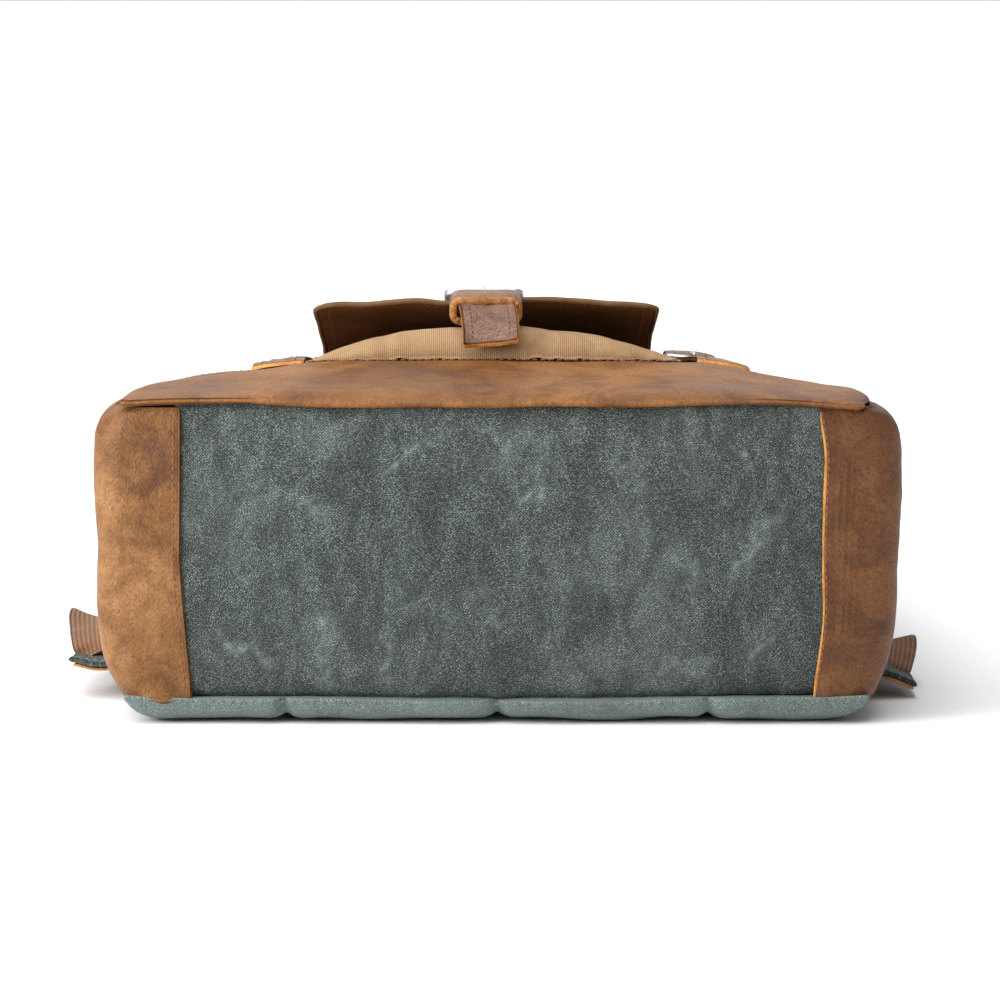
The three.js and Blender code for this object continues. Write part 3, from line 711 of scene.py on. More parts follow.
def webbing_cloth(name, base, pale, shade):
    """Ribbed webbing: raised cords along its length with short cross threads."""
    s = Shader(name)
    thread = s.attribute()
    u, v, _ = s.parts(thread)
    rib = s.sine(s.times(v, math.tau * 1000 / 2.1))
    twill = s.sine(s.add(s.times(u, math.tau * 1000 / 1.5),
                                  s.times(rib, 1.3)))
    fuzz = s.noise(thread, 1400, 3, 0.7)
    cloud = s.noise(s.object_place(), 80, 3)
    # Painted shade and highlight: the colour darkens between the cords and pales on their tops, mixed with
    # random fuzz
    tone = s.add(s.times(rib, 0.22), s.times(twill, 0.16))
    tone = s.add(s.add(tone, 0.5), s.times(s.math("SUBTRACT", fuzz, 0.5), 0.7))
    colour = s.ramp(tone, [(0.15, shade), (0.5, base), (0.9, pale)])
    colour = s.blend(s.level(cloud, 0.4, 0.7, 0.0, 0.25), colour, shade)
    height = s.add(rib, s.times(twill, 0.5))
    return s.finish(colour, 0.9, s.bump(height, 0.5, 0.0005), Sheen_Weight=0.2, Sheen_Roughness=0.6)


def metal(name, colour, roughness):
    """Polished plating with faint scratches."""
    s = Shader(name)
    place = s.object_place()
    scratch = s.noise(s.stretch(place, (1, 6, 1), (0.2, 0.4, 0.9)), 700, 3, 0.6)
    cloud = s.noise(place, 240, 3)
    rough = s.level(s.add(s.times(scratch, 0.5), s.times(cloud, 0.5)),
                    0.4, 0.65, roughness, roughness + 0.16)
    tint = s.blend(s.level(cloud, 0.45, 0.7, 0.0, 0.3), colour, scaled(colour, 0.7))
    return s.finish(tint, rough, s.bump(scratch, 0.06, 0.0002), Metallic=1.0)


def thread_material(name, colour):
    s = Shader(name)
    place = s.object_place()
    twist = s.noise(place, 2600, 2, 0.6)
    tint = s.blend(s.level(twist, 0.35, 0.65), scaled(colour, 0.6), scaled(colour, 1.25))
    return s.finish(tint, 0.7, s.bump(twist, 0.4, 0.0002))


def plain_board(name):
    s = Shader(name)
    place = s.object_place()
    grain = s.noise(place, 700, 4)
    colour = s.ramp(grain, [(0.3, (0.02, 0.02, 0.019)), (0.7, (0.05, 0.05, 0.047))])
    return s.finish(colour, 0.75, s.bump(grain, 0.3, 0.0004))


def make_materials():
    tan = rgb(164, 118, 72), rgb(131, 88, 45), rgb(96, 58, 28)
    # dark_tan is a darker copy of tan; on the right corner patch it is partly painted shade for the side away
    # from the key light and partly a darker hide
    dark_tan = rgb(136, 90, 52), rgb(106, 66, 36), rgb(76, 44, 24)
    band_tan = rgb(164, 112, 58), rgb(131, 84, 35), rgb(96, 56, 22)
    grey_brown = rgb(164, 132, 114), rgb(138, 104, 82), rgb(100, 68, 52)
    green = rgb(57, 65, 63), rgb(184, 195, 186), rgb(40, 47, 46)
    grey_green = rgb(118, 132, 128), rgb(190, 202, 194), rgb(88, 99, 96)
    khaki = rgb(184, 148, 108), rgb(216, 188, 152), rgb(146, 110, 74)
    dark_khaki = rgb(124, 92, 58), rgb(170, 136, 96), rgb(88, 60, 36)
    brown = rgb(114, 76, 42), rgb(138, 98, 60), rgb(90, 56, 28)
    cotton = rgb(176, 160, 132), rgb(200, 186, 160), rgb(150, 134, 108)
    web_tan = rgb(114, 74, 42), rgb(142, 99, 62), rgb(84, 52, 28)
    return {
        "leather": leather("pull_up_leather", *tan),
        "leather_dark": leather("darker_pull_up_leather", *dark_tan),
        "leather_band": leather("base_band_leather", *band_tan),
        "leather_flesh": raw_edge("leather_flesh_side", rgb(130, 90, 56), rgb(96, 62, 36)),
        "raw": raw_edge("raw_cut_edge", rgb(222, 158, 80), rgb(168, 102, 44)),
        "raw_brown": raw_edge("brown_cut_edge", rgb(200, 142, 86), rgb(128, 80, 44)),
        "tip_leather": leather("grey_brown_strap_leather", *grey_brown, gloss=0.34, creases=0.6),
        "green": canvas("green_waxed_canvas", *green),
        "quilt": canvas("green_quilted_canvas", *grey_green, crease=0.3),
        "khaki": canvas("khaki_ribbed_canvas", *khaki, ribbed=0.9, crease=0.35, contrast=0.3),
        "flap_top": canvas("khaki_flap_canvas", *dark_khaki, crease=0.3, contrast=0.4),
        "dark": canvas("dark_flap_lining", *brown, crease=0.0, roughness=0.9, contrast=0.4, shine=0.03),
        "cotton": canvas("cotton_lining", *cotton, crease=0.0, roughness=0.9, contrast=0.3),
        "webbing": webbing_cloth("tan_webbing", *web_tan),
        "metal": metal("silver_plate", (0.72, 0.72, 0.78), 0.34),
        "thread_tan": thread_material("tan_thread", rgb(150, 100, 58)),
        "thread_dark": thread_material("brown_thread", rgb(92, 52, 32)),
        "thread_red": thread_material("red_brown_thread", rgb(122, 72, 50)),
        "thread_corner": thread_material("corner_thread", rgb(138, 84, 56)),
        "thread_lip": thread_material("seam_thread", rgb(120, 122, 108)),
        "thread_green": thread_material("green_thread", rgb(120, 130, 124)),
        "board": plain_board("stiffener_board"),
    }


# ------------------------------------------------------------------ bottom end

# Where the bottom canvas has been folded and rubbed pale: x and z of each line's two ends, and its
# width, in millimetres, and how strong it is.
CANVAS_CREASES = (
    (19, 109, 8, 82, 3.0, 1.0), (101, 118, 101, 104, 2.4, 0.7), (-74, 52, -70, 16, 5.0, 0.8),
    (-50, 108, -24, 119, 3.2, 0.8), (-48, 35, -45, 16, 2.4, 0.8), (98, 62, 119, 97, 4.0, 0.6),
    (-118, 40, -92, 24, 4.5, 0.7), (-20, 60, 14, 40, 6.0, 0.35), (60, 30, 92, 22, 4.0, 0.5),
    (-96, 100, -70, 84, 6.0, 0.5), (44, 118, 62, 96, 3.0, 0.45), (-8, 122, 26, 118, 2.5, 0.5),
    (118, 40, 104, 22, 3.0, 0.5), (-112, 78, -104, 58, 4.0, 0.4), (70, 76, 84, 60, 5.0, 0.35),
)


def crease_mask(x, z, lines, seed):
    """Soft broken lines across a panel."""
    mask = np.zeros(np.broadcast(x, z).shape)
    bend = 2.6 * waves(x, z, 22, seed) + 0.8 * waves(x, z, 7, seed + 2)
    broken = 0.5 + 0.4 * waves(x, z, 8, seed + 1)
    for x0, z0, x1, z1, width, strength in lines:
        length = math.hypot(x1 - x0, z1 - z0)
        along = ((x - x0) * (x1 - x0) + (z - z0) * (z1 - z0)) / length ** 2
        off = ((x - x0) * (z1 - z0) - (z - z0) * (x1 - x0)) / length + bend
        fade = smooth(-0.1, 0.25, along) * (1 - smooth(0.75, 1.1, along))
        line = np.exp(-np.abs(off / (0.7 * width)) ** 1.4)
        mask = np.maximum(mask, strength * fade * line * np.clip(broken, 0.1, 1))
    return mask


def lined(m, outside, inside="cotton"):
    """The materials of a sheet of cloth: its outer face, its inner face and its edge."""
    return m[outside], m[inside], m[outside]


def strip(*lengths):
    """Numbers from 0 up, with as many points in each unit as the count given for it."""
    parts = [np.linspace(k, k + 1, count)[:-1] for k, count in enumerate(lengths)]
    return np.append(np.concatenate(parts), len(lengths))


def bottom_canvas(m):
    """The canvas between the corner patches, drawn in under the leather at its edges."""
    x = np.linspace(-BOTTOM_HALF - 1.5, BOTTOM_HALF + 4.5, 260)[:, None]
    v = np.linspace(0, 1, 116)[None, :]
    z = mix(back_seam(0.0) - seam_sag(x) + 0 * v, front_z(x, 0 * x) - 3.0 + 0 * v, v)
    to_top = (1 - v) * END_HEIGHT
    to_low = v * END_HEIGHT
    tuck = 2.6 * np.exp(-to_low / 2.2) + 1.2 * np.exp(-to_top / 1.6)
    swell = end_bulge(x, v) + 0.9 * waves(x, z, 95, 11) * np.sin(math.pi * v) ** 0.5
    pucker = 0.35 * wave_line(x, 9, 12) * np.exp(-to_low / 9)
    pucker = pucker + 0.3 * wave_line(x, 13, 13) * np.exp(-to_top / 10)
    fine = 0.3 * waves(x, z, 24, 14)
    wear = crease_mask(x, z, CANVAS_CREASES, 15)
    y = -(swell + pucker + fine + 0.8 * wear) + tuck
    grid = grid_of(x, y, z)
    made = sheet_object("bottom_canvas", grid, CANVAS, (0, -1, 0), lined(m, "green"), "bag", wear=wear)
    stand_in(made, "bottom_panel")


PATCH_CREASES = ((0.30, 0.55), (0.42, 0.4), (0.52, 0.5), (0.62, 0.3))     # share across, and depth


def patch_edge(side, v):
    """Where a corner patch's inner edge runs, from the back seam up to the front."""
    if side < 0:
        return -131.6 + 3.6 * (1 - smooth(0.0, 0.55, v)) - 0.5 * np.sin(5 * v)
    return 135.4 - 3.0 * (1 - smooth(0.0, 0.35, v)) - 2.6 * smooth(0.8, 1.0, v) + 0.5 * np.sin(9 * v)


def corner_plan(side, s, v):
    """A corner patch's outer face: s runs 0 to 1 along the end, to 2 round the corner, to 3 up the side."""
    radius = CORNER_RADIUS
    arc_x = SEAM_HALF + side_bulge(v) - radius
    inner = side * patch_edge(side, v)
    x1 = mix(inner, arc_x, clamp(s))
    y1 = -end_bulge(x1, v)
    angle = clamp(s - 1) * math.pi / 2
    x2 = arc_x + radius * np.sin(angle)
    y2 = radius - radius * np.cos(angle) - end_bulge(arc_x, v) * (1 - clamp(s - 1))
    y3 = mix(radius, CORNER_TOP + 1.5, clamp(s - 2))
    x3 = seam_half(y3) + side_bulge(v)
    x = np.where(s <= 1, x1, np.where(s <= 2, x2, x3))
    y = np.where(s <= 1, y1, np.where(s <= 2, y2, y3))
    return x, y


def corner_patch(m, side, label):
    """Leather lapped over the canvas, wrapped round the corner, with a rippled lower hem."""
    s = strip(26, 16, 44)[:, None]
    v = np.linspace(0, 1, 90)[None, :]
    x, y = corner_plan(side, s, v)
    seed = 40 + (side > 0)
    under_band = 4.0 - 1.6 * smooth(5, 25, y)
    sag = seam_sag(np.minimum(x, SEAM_HALF)) * (1 - v) * (1 - clamp(s - 1))
    z = wall_z(v, np.maximum(y, 0), under_band, side) - sag
    length = 35 * clamp(s) + 19 * clamp(s - 1) + 78 * clamp(s - 2)
    hem = np.exp(-v * END_HEIGHT / 7)
    z = z - 1.9 * hem + 0.8 * hem * wave_line(length, 26, seed + 2)
    ripple = 0.5 * waves(length, z, 48, seed) + 0.1 * waves(length, z, 13, seed + 1)
    ripple = ripple * smooth(0, 0.12, s) + hem * (0.5 * wave_line(length, 24, seed + 3) + 0.6)
    crease = 0.0
    if side > 0:
        for at, depth in PATCH_CREASES:
            here = s - at - 0.05 * np.sin(3.1 * v + 9 * at)
            reach = smooth(0.1, 0.3, v) * (1 - smooth(0.75, 0.92, v))
            crease = crease - depth * np.exp(-(here / 0.018) ** 2) * reach
    lap = 1.7 + ripple + crease
    top_in = 1.4 * np.exp(-(1 - v) * END_HEIGHT / 2.5)
    lap = lap - top_in
    angle = clamp(s - 1) * math.pi / 2
    grid = grid_of(side * (x + lap * np.sin(angle)), y - lap * np.cos(angle), z)
    facing = grid_of(side * np.sin(angle), -np.cos(angle), 0 * x)
    bevel = (1.9 if side > 0 else 0.1, 0, 0, 0.2)
    # The right patch takes the darker copy of the leather: partly painted shade for the side away from the
    # key light, partly a darker hide
    hide = m["leather"] if side < 0 else m["leather_dark"]
    edge = m["raw"] if side > 0 else hide
    made = sheet_object(f"{label}_corner_leather", grid, LEATHER, facing,
                        (hide, m["leather_flesh"], edge, hide), "bag", bevel, 0.3, (3, 3, 3, 2))
    stand_in(made, f"{label}_corner_patch")
    inset = 3 if side < 0 else 2
    rows = [row_on_grid(grid, facing, inset, 1, 3, -1)]
    stitches(f"{label}_corner_stitches", rows, m["thread_corner"], "bag", pitch=3.2, length=2.5, radius=0.42)


# ------------------------------------------------------------------ front

BAND_OVERHANG = 3.2
BAND_ROLL = (30.0, 7.6)                     # how far the band's front edge rolls over, along and down
BAND_UNDER = 1.2                            # how far it curls in below its foremost line
BAND_SHARE = 0.34                           # share of the band's width in the roll
BAND_END_ROUND = {-1: 10.0, 1: 5.5}


def band_fall(x):
    """How far the band's foremost line lies below its top, less where the top has slumped."""
    lifted = slump(x) - 3.0 * smooth(85, 150, x)
    raised = 0.6 * smooth(0, 110, x) + 1.5 * smooth(75, 130, -x)
    return BAND_ROLL[1] - 1.4 - lifted - raised


def band_profile(x, t):
    """The base band from under its front edge, over a soft roll and up to its top seam."""
    reach = BAND_ROLL[0]
    turn = clamp(t / BAND_SHARE)
    angle = mix(math.radians(-90), math.radians(90), turn ** 0.8)
    start = reach - BAND_OVERHANG
    flat_y = mix(start, BAND_TOP, clamp((t - BAND_SHARE) / (1 - BAND_SHARE)))
    top = front_z(x, start + 0 * x)
    under = BAND_UNDER * np.sin(np.minimum(angle, 0))
    rolled_y = start - reach * np.where(angle < 0, 0.84 + 0.16 * np.cos(angle), np.cos(angle))
    rolled_z = top - band_fall(x) * (1 - np.sin(np.maximum(angle, 0))) + under
    y = np.where(t < BAND_SHARE, rolled_y, flat_y)
    z = np.where(t < BAND_SHARE, rolled_z, front_z(x, np.maximum(flat_y, 0)))
    return y, z, turn


def base_band(m):
    right_end, left_end = SEAM_HALF - 2.5, SEAM_HALF + 1.5
    share = np.sin(np.linspace(-math.pi / 2, math.pi / 2, 221))
    x = np.where(share < 0, share * left_end, share * right_end)[:, None]
    spread = (SEAM_HALF + 1.5) / right_end - 1
    t = np.concatenate([np.linspace(0, BAND_SHARE, 46)[:-1], np.linspace(BAND_SHARE, 1, 60)])[None, :]
    y, z, turn = band_profile(x, t)
    out = smooth(0.3, 0.8, t)
    from_end = np.where(x < 0, (left_end + x) / BAND_END_ROUND[-1], (right_end - x) / BAND_END_ROUND[1])
    end = np.sqrt(1 - (1 - clamp(from_end)) ** 2)
    z = z + (0.5 * waves(x, y, 70, 51) + 0.15 * waves(x, y, 20, 52)) * out
    start = BAND_ROLL[0] - BAND_OVERHANG
    pinch = front_z(x, np.maximum(y, start)) - 0.75 * band_fall(x)
    z = pinch + (z - pinch) * end
    y = mix(5.0 + (y - 5.0) * mix(0.3, 1.0, end), y, smooth(0.3, 0.5, t))
    z = z + 0.3 * wave_line(x, 60, 53) * (1 - out)
    seam = np.exp(-((y - BAND_TOP) / 5.0) ** 2)
    z = z - 0.3 * seam
    wide = x * (1 + np.where(x > 0, spread, 0) * smooth(2, 26, y))
    grid = grid_of(wide, y - 0.3 * wave_line(x, 40, 54) * (1 - out), z)
    facing = grid_of(0 * z, -np.cos(turn * math.pi / 2), turn - 0.2)
    made = sheet_object("base_band_leather", grid, LEATHER, facing,
                        (m["leather_band"], m["leather_flesh"], m["leather_dark"]), "bag")
    stand_in(made, "base_band")
    rows = [row_on_grid(grid, facing, -3, 0, 2, -2, 0.1)]
    stitches("base_band_stitches", rows, m["thread_dark"], "bag", sink=0.3)


def front_canvas(m):
    u = np.linspace(-1, 1, 120)[:, None]
    y = np.linspace(BAND_TOP + 0.4, MOUTH_Y, 120)[None, :]
    half = seam_half(y)
    x = u * (half + 0.5)
    z = front_z(x, y) - 0.5 + 0.35 * waves(x, y, 60, 61) * smooth(0, 12, y - BAND_TOP)
    z = z - 2.2 * np.exp(-(half + 0.5 - np.abs(x)) / 2.5)
    grid = grid_of(x, y, z)
    made = sheet_object("front_canvas", grid, CANVAS, (0, 0, 1), lined(m, "green"), "bag")
    stand_in(made, "front_panel")


def side_canvas(m, side, label):
    v = np.linspace(0, 1, 60)[:, None]
    y = np.linspace(CORNER_TOP - 2, MOUTH_Y, 130)[None, :]
    x = seam_half(y) + side_bulge(v) * mix(1.0, 0.75, smooth(100, 380, y)) - 0.6
    z = wall_z(v, y, 1.6, side)
    x = x + (0.9 * waves(y, z, 70, 71 + side) + 0.3 * waves(y, z, 22, 72 + side)) * np.sin(math.pi * v) ** 0.6
    x = x - 2.0 * np.exp(-v * END_HEIGHT / 2.5) - 1.6 * np.exp(-(1 - v) * END_HEIGHT / 2.5)
    grid = grid_of(side * x, y, z)
    made = sheet_object(f"{label}_side_canvas", grid, CANVAS, (side, 0, 0), lined(m, "green"), "bag")
    stand_in(made, f"{label}_side_panel")


# ------------------------------------------------------------------ quilted back

QUILT = (-88.0, 0.0, 88.0)                  # where the channels are sewn
PAD_LEAST = 0.8                             # a pad is nowhere thinner than this


def quilted_back(m):
    """The padded back: one lobe between each two sewn channels, rounded up to the seam all round."""
    lines = np.array(QUILT)
    near = [line / SEAM_HALF + np.linspace(-0.035, 0.035, 15) for line in lines]
    u = np.sort(np.concatenate([np.linspace(-1, 1, 150)] + near))[:, None]
    front = np.linspace(0, 1, 26)[:-1]
    y_lip = -LIP + 18 * front ** 2
    y = np.concatenate([y_lip, np.linspace(15, MOUTH_Y, 110)])[None, :]
    half = seam_half(y)
    x = u * (half + 0.5)
    at = u * SEAM_HALF
    gap = np.min(np.abs(at[None] - lines[:, None, None]), axis=0)
    groove = 2.6 * np.exp(-(gap / 3.2) ** 1.4)
    pucker = 0.5 * np.exp(-gap / 9) * wave_line(y, 11, 81) * smooth(0, 20, y)
    edge_x = clamp((np.abs(u) * half - (half - 20)) / 20.5)
    edge_y = clamp((-LIP + 13 - y) / 13)
    flat = np.sqrt(np.maximum(0, (1 - edge_x ** 2.4) * (1 - edge_y ** 2.2)))
    rim = (PAD_DEPTH - 1.2 - seam_sag(np.clip(x, -SEAM_HALF, SEAM_HALF)) * edge_y) * (1 - flat)
    lobes = 0.8 * waves(x, y, 60, 82) + 0.6 * waves(x, y, 26, 83)
    z = back_lift(y) + rim + (groove + 0.8 + 0.5 * lobes) * flat + pucker * flat
    z = np.maximum(z, back_lift(y) + 0.05)
    front_roll = 1.4 * groove * edge_y + 0.5 * wave_line(x, 34, 84) * edge_y
    grid = grid_of(x, y + front_roll, z)
    top = back_seam(y) + 0 * x - seam_sag(np.clip(x, -SEAM_HALF, SEAM_HALF)) * edge_y - 0.4
    made = pad_object("quilted_back", grid, top, (m["quilt"],) * 3, "bag")
    stand_in(made, "back_panel")
    x_row = np.linspace(-SEAM_HALF + 4, SEAM_HALF - 4, 160)
    z_row = PAD_DEPTH - 1.5 - seam_sag(x_row)
    path = np.stack([x_row, np.full_like(x_row, -LIP - 0.1), z_row], axis=1)
    normals = np.tile([0.0, -1.0, 0.15], (len(x_row), 1))
    stitches("back_seam_stitches", [(path, normals)], m["thread_lip"], "bag", pitch=4.2, length=2.0,
             radius=0.36, sink=0.15)
    channels = []
    ys = np.linspace(14, MOUTH_Y - 60, 90)
    for line in QUILT:
        xs = line / SEAM_HALF * seam_half(ys)
        zs = back_lift(ys) + 3.2
        channels.append((np.stack([xs, ys, zs], axis=1), np.tile([0.0, 0.0, -1.0], (len(ys), 1))))
    stitches("quilting_stitches", channels, m["thread_green"], "bag", pitch=4.0, radius=0.42, sink=-0.2)


def pad_object(name, under, top, materials, body):
    """A padded solid between its rounded underside and a flatter top at the heights given."""
    upper = under.copy()
    upper[..., 2] = np.maximum(top, under[..., 2] + PAD_LEAST)
    rows, columns = under.shape[:2]
    count = rows * columns
    quads = quad_faces(rows, columns)
    faces = quads[:, ::-1].tolist() + (quads + count).tolist()
    loop = border_loop(rows, columns)
    faces += [[here, after, count + after, count + here] for here, after in zip(loop, loop[1:] + loop[:1])]
    indices = [0] * len(quads) + [1] * len(quads) + [2] * len(loop)
    cloth = cloth_of(under)
    vertices = metres(np.concatenate([under.reshape(-1, 3), upper.reshape(-1, 3)]))
    made = make_object(name, vertices, faces, materials, indices, np.concatenate([cloth, cloth]))
    if faces_point_in(made):
        made.data.flip_normals()
    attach(made, body)
    return made


def faces_point_in(made):
    """Whether a closed mesh's signed volume is below zero."""
    total = 0.0
    vertices = made.data.vertices
    for polygon in made.data.polygons:
        first, *others = [vertices[index].co for index in polygon.vertices]
        for here, after in zip(others, others[1:]):
            total += first.dot(here.cross(after))
    return total < 0


# ------------------------------------------------------------------ front pocket and its flap

POCKET_CREST = 15.0
POCKET_CREST_Y = 112.0
POCKET_MOUTH_RISE = 9.3
POCKET_END_ROUND = 16.0
FLAP_EDGE_Z = 168.5
FLAP_SLOPE = 0.285
FLAP_HINGE_LIFT = 3.8
FLAP_CORNER = 7.0
FLAP_CLOTH = 1.3
BUCKLE_HALF = 15.0
BUCKLE_LENGTH = 20.0
BUCKLE_CORNER = 3.5
WIRE = 1.35
WIRE_SIDES = 12
PRONG = 1.0
BUTTON_PROFILE = ((1.0, 0.0), (1.0, 0.5), (0.92, 0.85), (0.7, 1.0), (0.35, 1.0), (0.05, 1.0))
BUTTON_SIDES = 28
LOOP_STEP = 1.5
LOOP_SECTION = ((0.0, 0.12), (0.06, 0.0), (0.94, 0.0), (1.0, 0.12), (1.0, 0.5), (1.0, 0.88), (0.94, 1.0),
                (0.06, 1.0), (0.0, 0.88), (0.0, 0.5))       # shares of the width and the thickness
LOOP_SLOTS = [1, 0, 1, 1, 1, 1, 2, 1, 1, 1]
CORD_STEP = 2.2
CORD_SIDES = 10
STRAP_LIFTS = ((216, 1.6), (205, 1.6), (190, 1.6), (175, 1.6), (160, 1.6), (150, 1.8), (140, 2.4),
               (128, 2.4), (116, 2.0))      # y along the flap, and the strap's height over it
STRAP_TIP = ((108, 171), (100, 167.4), (92, 162), (86.5, 155.4), (84, 151.2))


def pocket_top(x, y):
    """The outside of the pocket: a dome sewn down along its lower edge and its sides."""
    past_crest = clamp((y - POCKET_CREST_Y) / (POCKET_MOUTH - POCKET_CREST_Y))
    crest = mix(POCKET_CREST, POCKET_MOUTH_RISE, past_crest)
    dome = 1 - clamp(np.abs(x - POCKET_X) / POCKET_HALF) ** 2.6
    toward_end = clamp((POCKET_LOW + POCKET_END_ROUND - y) / POCKET_END_ROUND)
    return front_z(x, y) + 0.5 + crest * dome * np.sqrt(1 - toward_end ** 2.0)


def diagonal_fold(x, y, start, end, width, depth):
    """A soft crease along a line between two points, lower on its right side."""
    start, end = np.array(start), np.array(end)
    along = end - start
    length = np.linalg.norm(along)
    along = along / length
    t = ((x - start[0]) * along[0] + (y - start[1]) * along[1]) / length
    off = (x - start[0]) * along[1] - (y - start[1]) * along[0]
    fade = smooth(-0.15, 0.1, t) * (1 - smooth(0.9, 1.2, t))
    line = np.exp(-np.abs(off / (0.7 * width)) ** 1.4)
    beside = 0.6 * smooth(0, width, -off) * np.exp(-np.abs(off) / (5 * width))
    return -depth * fade * (line + beside)


def front_pocket(m):
    u = np.linspace(-1, 1, 170)[:, None]
    y = POCKET_LOW + (POCKET_MOUTH - POCKET_LOW) * np.linspace(0, 1, 110)[None, :] ** 1.5
    x = POCKET_X + u * POCKET_HALF + 0 * y
    ease = smooth(0, 10, y - POCKET_LOW) * smooth(0, 12, POCKET_HALF - np.abs(x - POCKET_X))
    z = pocket_top(x, y) + (0.7 * waves(x, y, 46, 101) + 0.25 * waves(x, y, 16, 102)) * ease
    z = z + diagonal_fold(x, y, (16, 112), (46, 93), 3.0, 1.4) * smooth(0, 4, y - POCKET_LOW)
    z = z + diagonal_fold(x, y, (-40, 118), (-66, 94), 4.0, 0.9) * smooth(0, 4, y - POCKET_LOW)
    z = z + 0.35 * wave_line(x, 10, 103) * np.exp(-(y - POCKET_LOW) / 5)
    grid = grid_of(x, y, z)
    made = sheet_object("front_pocket_cloth", grid, 1.4, (0, 0, 1), lined(m, "khaki"), "bag")
    stand_in(made, "front_pocket")
    normal = np.tile([0.0, -0.35, 1.0], (170, 1))
    seam_x = POCKET_X + np.linspace(-POCKET_HALF + 1, POCKET_HALF - 1, 170)
    seam = np.stack([seam_x, np.full(170, BAND_TOP - 1.2), front_z(seam_x, BAND_TOP - 1.2) + 0.35], axis=1)
    stitches("pocket_seam_stitches", [(seam, normal)], m["thread_red"], "bag", pitch=3.6, length=2.7,
             radius=0.45)
    mouth = [row_on_grid(grid, (0, 0, 1), -6, 0, 3, -3)]
    stitches("pocket_mouth_stitches", mouth, m["thread_tan"], "bag")


def flap_top(x, y):
    def straight(at):
        return FLAP_EDGE_Z - (at - FLAP_EDGE) * FLAP_SLOPE
    drop = straight(FLAP_HINGE) - front_z(FLAP_X, FLAP_HINGE) - FLAP_HINGE_LIFT
    reach = FLAP_HINGE - y
    across = (x - FLAP_X) / FLAP_HALF
    droop = np.where(across < 0, 3.0, 0.9) * across ** 2 * reach / (FLAP_HINGE - FLAP_EDGE)
    return straight(y) - drop * np.exp(-reach / 5) - droop


def flap_grid(inset, lower, columns=150):
    edge = FLAP_EDGE + inset
    t = np.linspace(0, 1, 110)[None, :]
    y = edge + (FLAP_HINGE - edge) * t ** 1.4
    in_corner = clamp((edge + FLAP_CORNER - y) / FLAP_CORNER)
    half = FLAP_HALF - inset - FLAP_CORNER * (1 - np.sqrt(1 - in_corner ** 2))
    x = FLAP_X + np.linspace(-1, 1, columns)[:, None] * half
    reach = smooth(0, 30, FLAP_HINGE - y)
    wrinkle = (0.8 * waves(x, y, 80, 111) + 0.25 * waves(x, y, 25, 112)) * reach
    wrinkle = wrinkle + 0.6 * wave_line(x, 52, 113) * smooth(40, 0, y - FLAP_EDGE)
    return grid_of(x, y, flap_top(x, y) + wrinkle - lower)


def edge_path(grid):
    """The two sides and the free edge of a grid whose first column is its free edge."""
    return np.concatenate([grid[0, :0:-1], grid[:, 0], grid[-1, 1:]])


def cord_along(name, path, radius, material, body, squash=1.0):
    """A round or oval roll along a path."""
    path = resample(path, CORD_STEP)
    along = unit(np.gradient(path, axis=0))
    side = unit(np.cross(along, (0.0, 0.0, 1.0)))
    up = np.cross(side, along)
    angle = round_angles(CORD_SIDES)[None, :, None]
    rings = path[:, None] + radius * (np.cos(angle) * side[:, None] + squash * np.sin(angle) * up[:, None])
    return tube_object(name, rings, (material,), body)


def pocket_flap(m):
    outer = flap_grid(0.6, 0.0)
    made = sheet_object("flap_canvas", outer, FLAP_CLOTH, (0, 0, 1), lined(m, "flap_top", "dark"),
                        "pocket_flap")
    stand_in(made, "pocket_flap")
    path = edge_path(outer) - np.array([0, 0, FLAP_CLOTH + 0.1])
    hem = cord_along("flap_hem", path, 1.1, m["flap_top"], "pocket_flap")
    lining = flap_grid(1.2, FLAP_CLOTH + 0.35)
    under = sheet_object("flap_lining", lining, 0.8, (0, 0, 1), (m["dark"],) * 3, "pocket_flap")
    stand_in(under, "pocket_flap_lining")
    top_row = [row_on_grid(outer, (0, 0, 1), 9, 0, 3, -3)]
    stitches("flap_stitches", top_row, m["thread_tan"], "pocket_flap", pitch=3.6)
    low_rows = [row_on_grid(lining, (0, 0, -1), 9, 0, 3, -3, 0.85)]
    low_rows += [row_on_grid(lining, (0, 0, -1), i, 1, 4, -14, 0.85) for i in (5, -6)]
    stitches("flap_lining_stitches", low_rows, m["thread_red"], "pocket_flap", pitch=3.6, radius=0.34)


def flap_strap(m):
    """The centre strap along the flap, through its buckle, its tip hanging over the edge."""
    on_flap = [(FLAP_X, y, float(flap_top(FLAP_X, y)) + lift) for y, lift in STRAP_LIFTS]
    tip = [(FLAP_X, y, z) for y, z in STRAP_TIP]
    path = spline(on_flap + tip, 150)
    path[:, 0] += 2.4 * smooth(108, 84, path[:, 1])
    grid = ribbon_grid(path, (1, 0, 0), STRAP_WIDTH - 0.6, 0.7, 19)
    grid[..., 2] += 0.12 * waves(grid[..., 0], grid[..., 1], 14, 121)
    grid[-1, :, 2] += 0.35 * wave_line(grid[-1, :, 0], 6, 122)
    grid[..., 2] += 0.08 * (grid[..., 0] - FLAP_X) * smooth(108, 84, grid[..., 1])
    made = sheet_object("flap_strap_leather", grid, 2.2, (0, -0.3, 1),
                        (m["tip_leather"], m["raw"], m["raw"], m["raw_brown"]), "pocket_flap",
                        (0.2, 1.1, 0.3, 0.9), 0.15, (3, 2, 2, 3))
    stand_in(made, "flap_strap")
    rows = [row_on_grid(grid, (0, -0.3, 1), column, 0, 4, -3) for column in (3, -4)]
    stitches("flap_strap_stitches", rows, m["thread_dark"], "pocket_flap", pitch=2.6, length=1.9, radius=0.32)


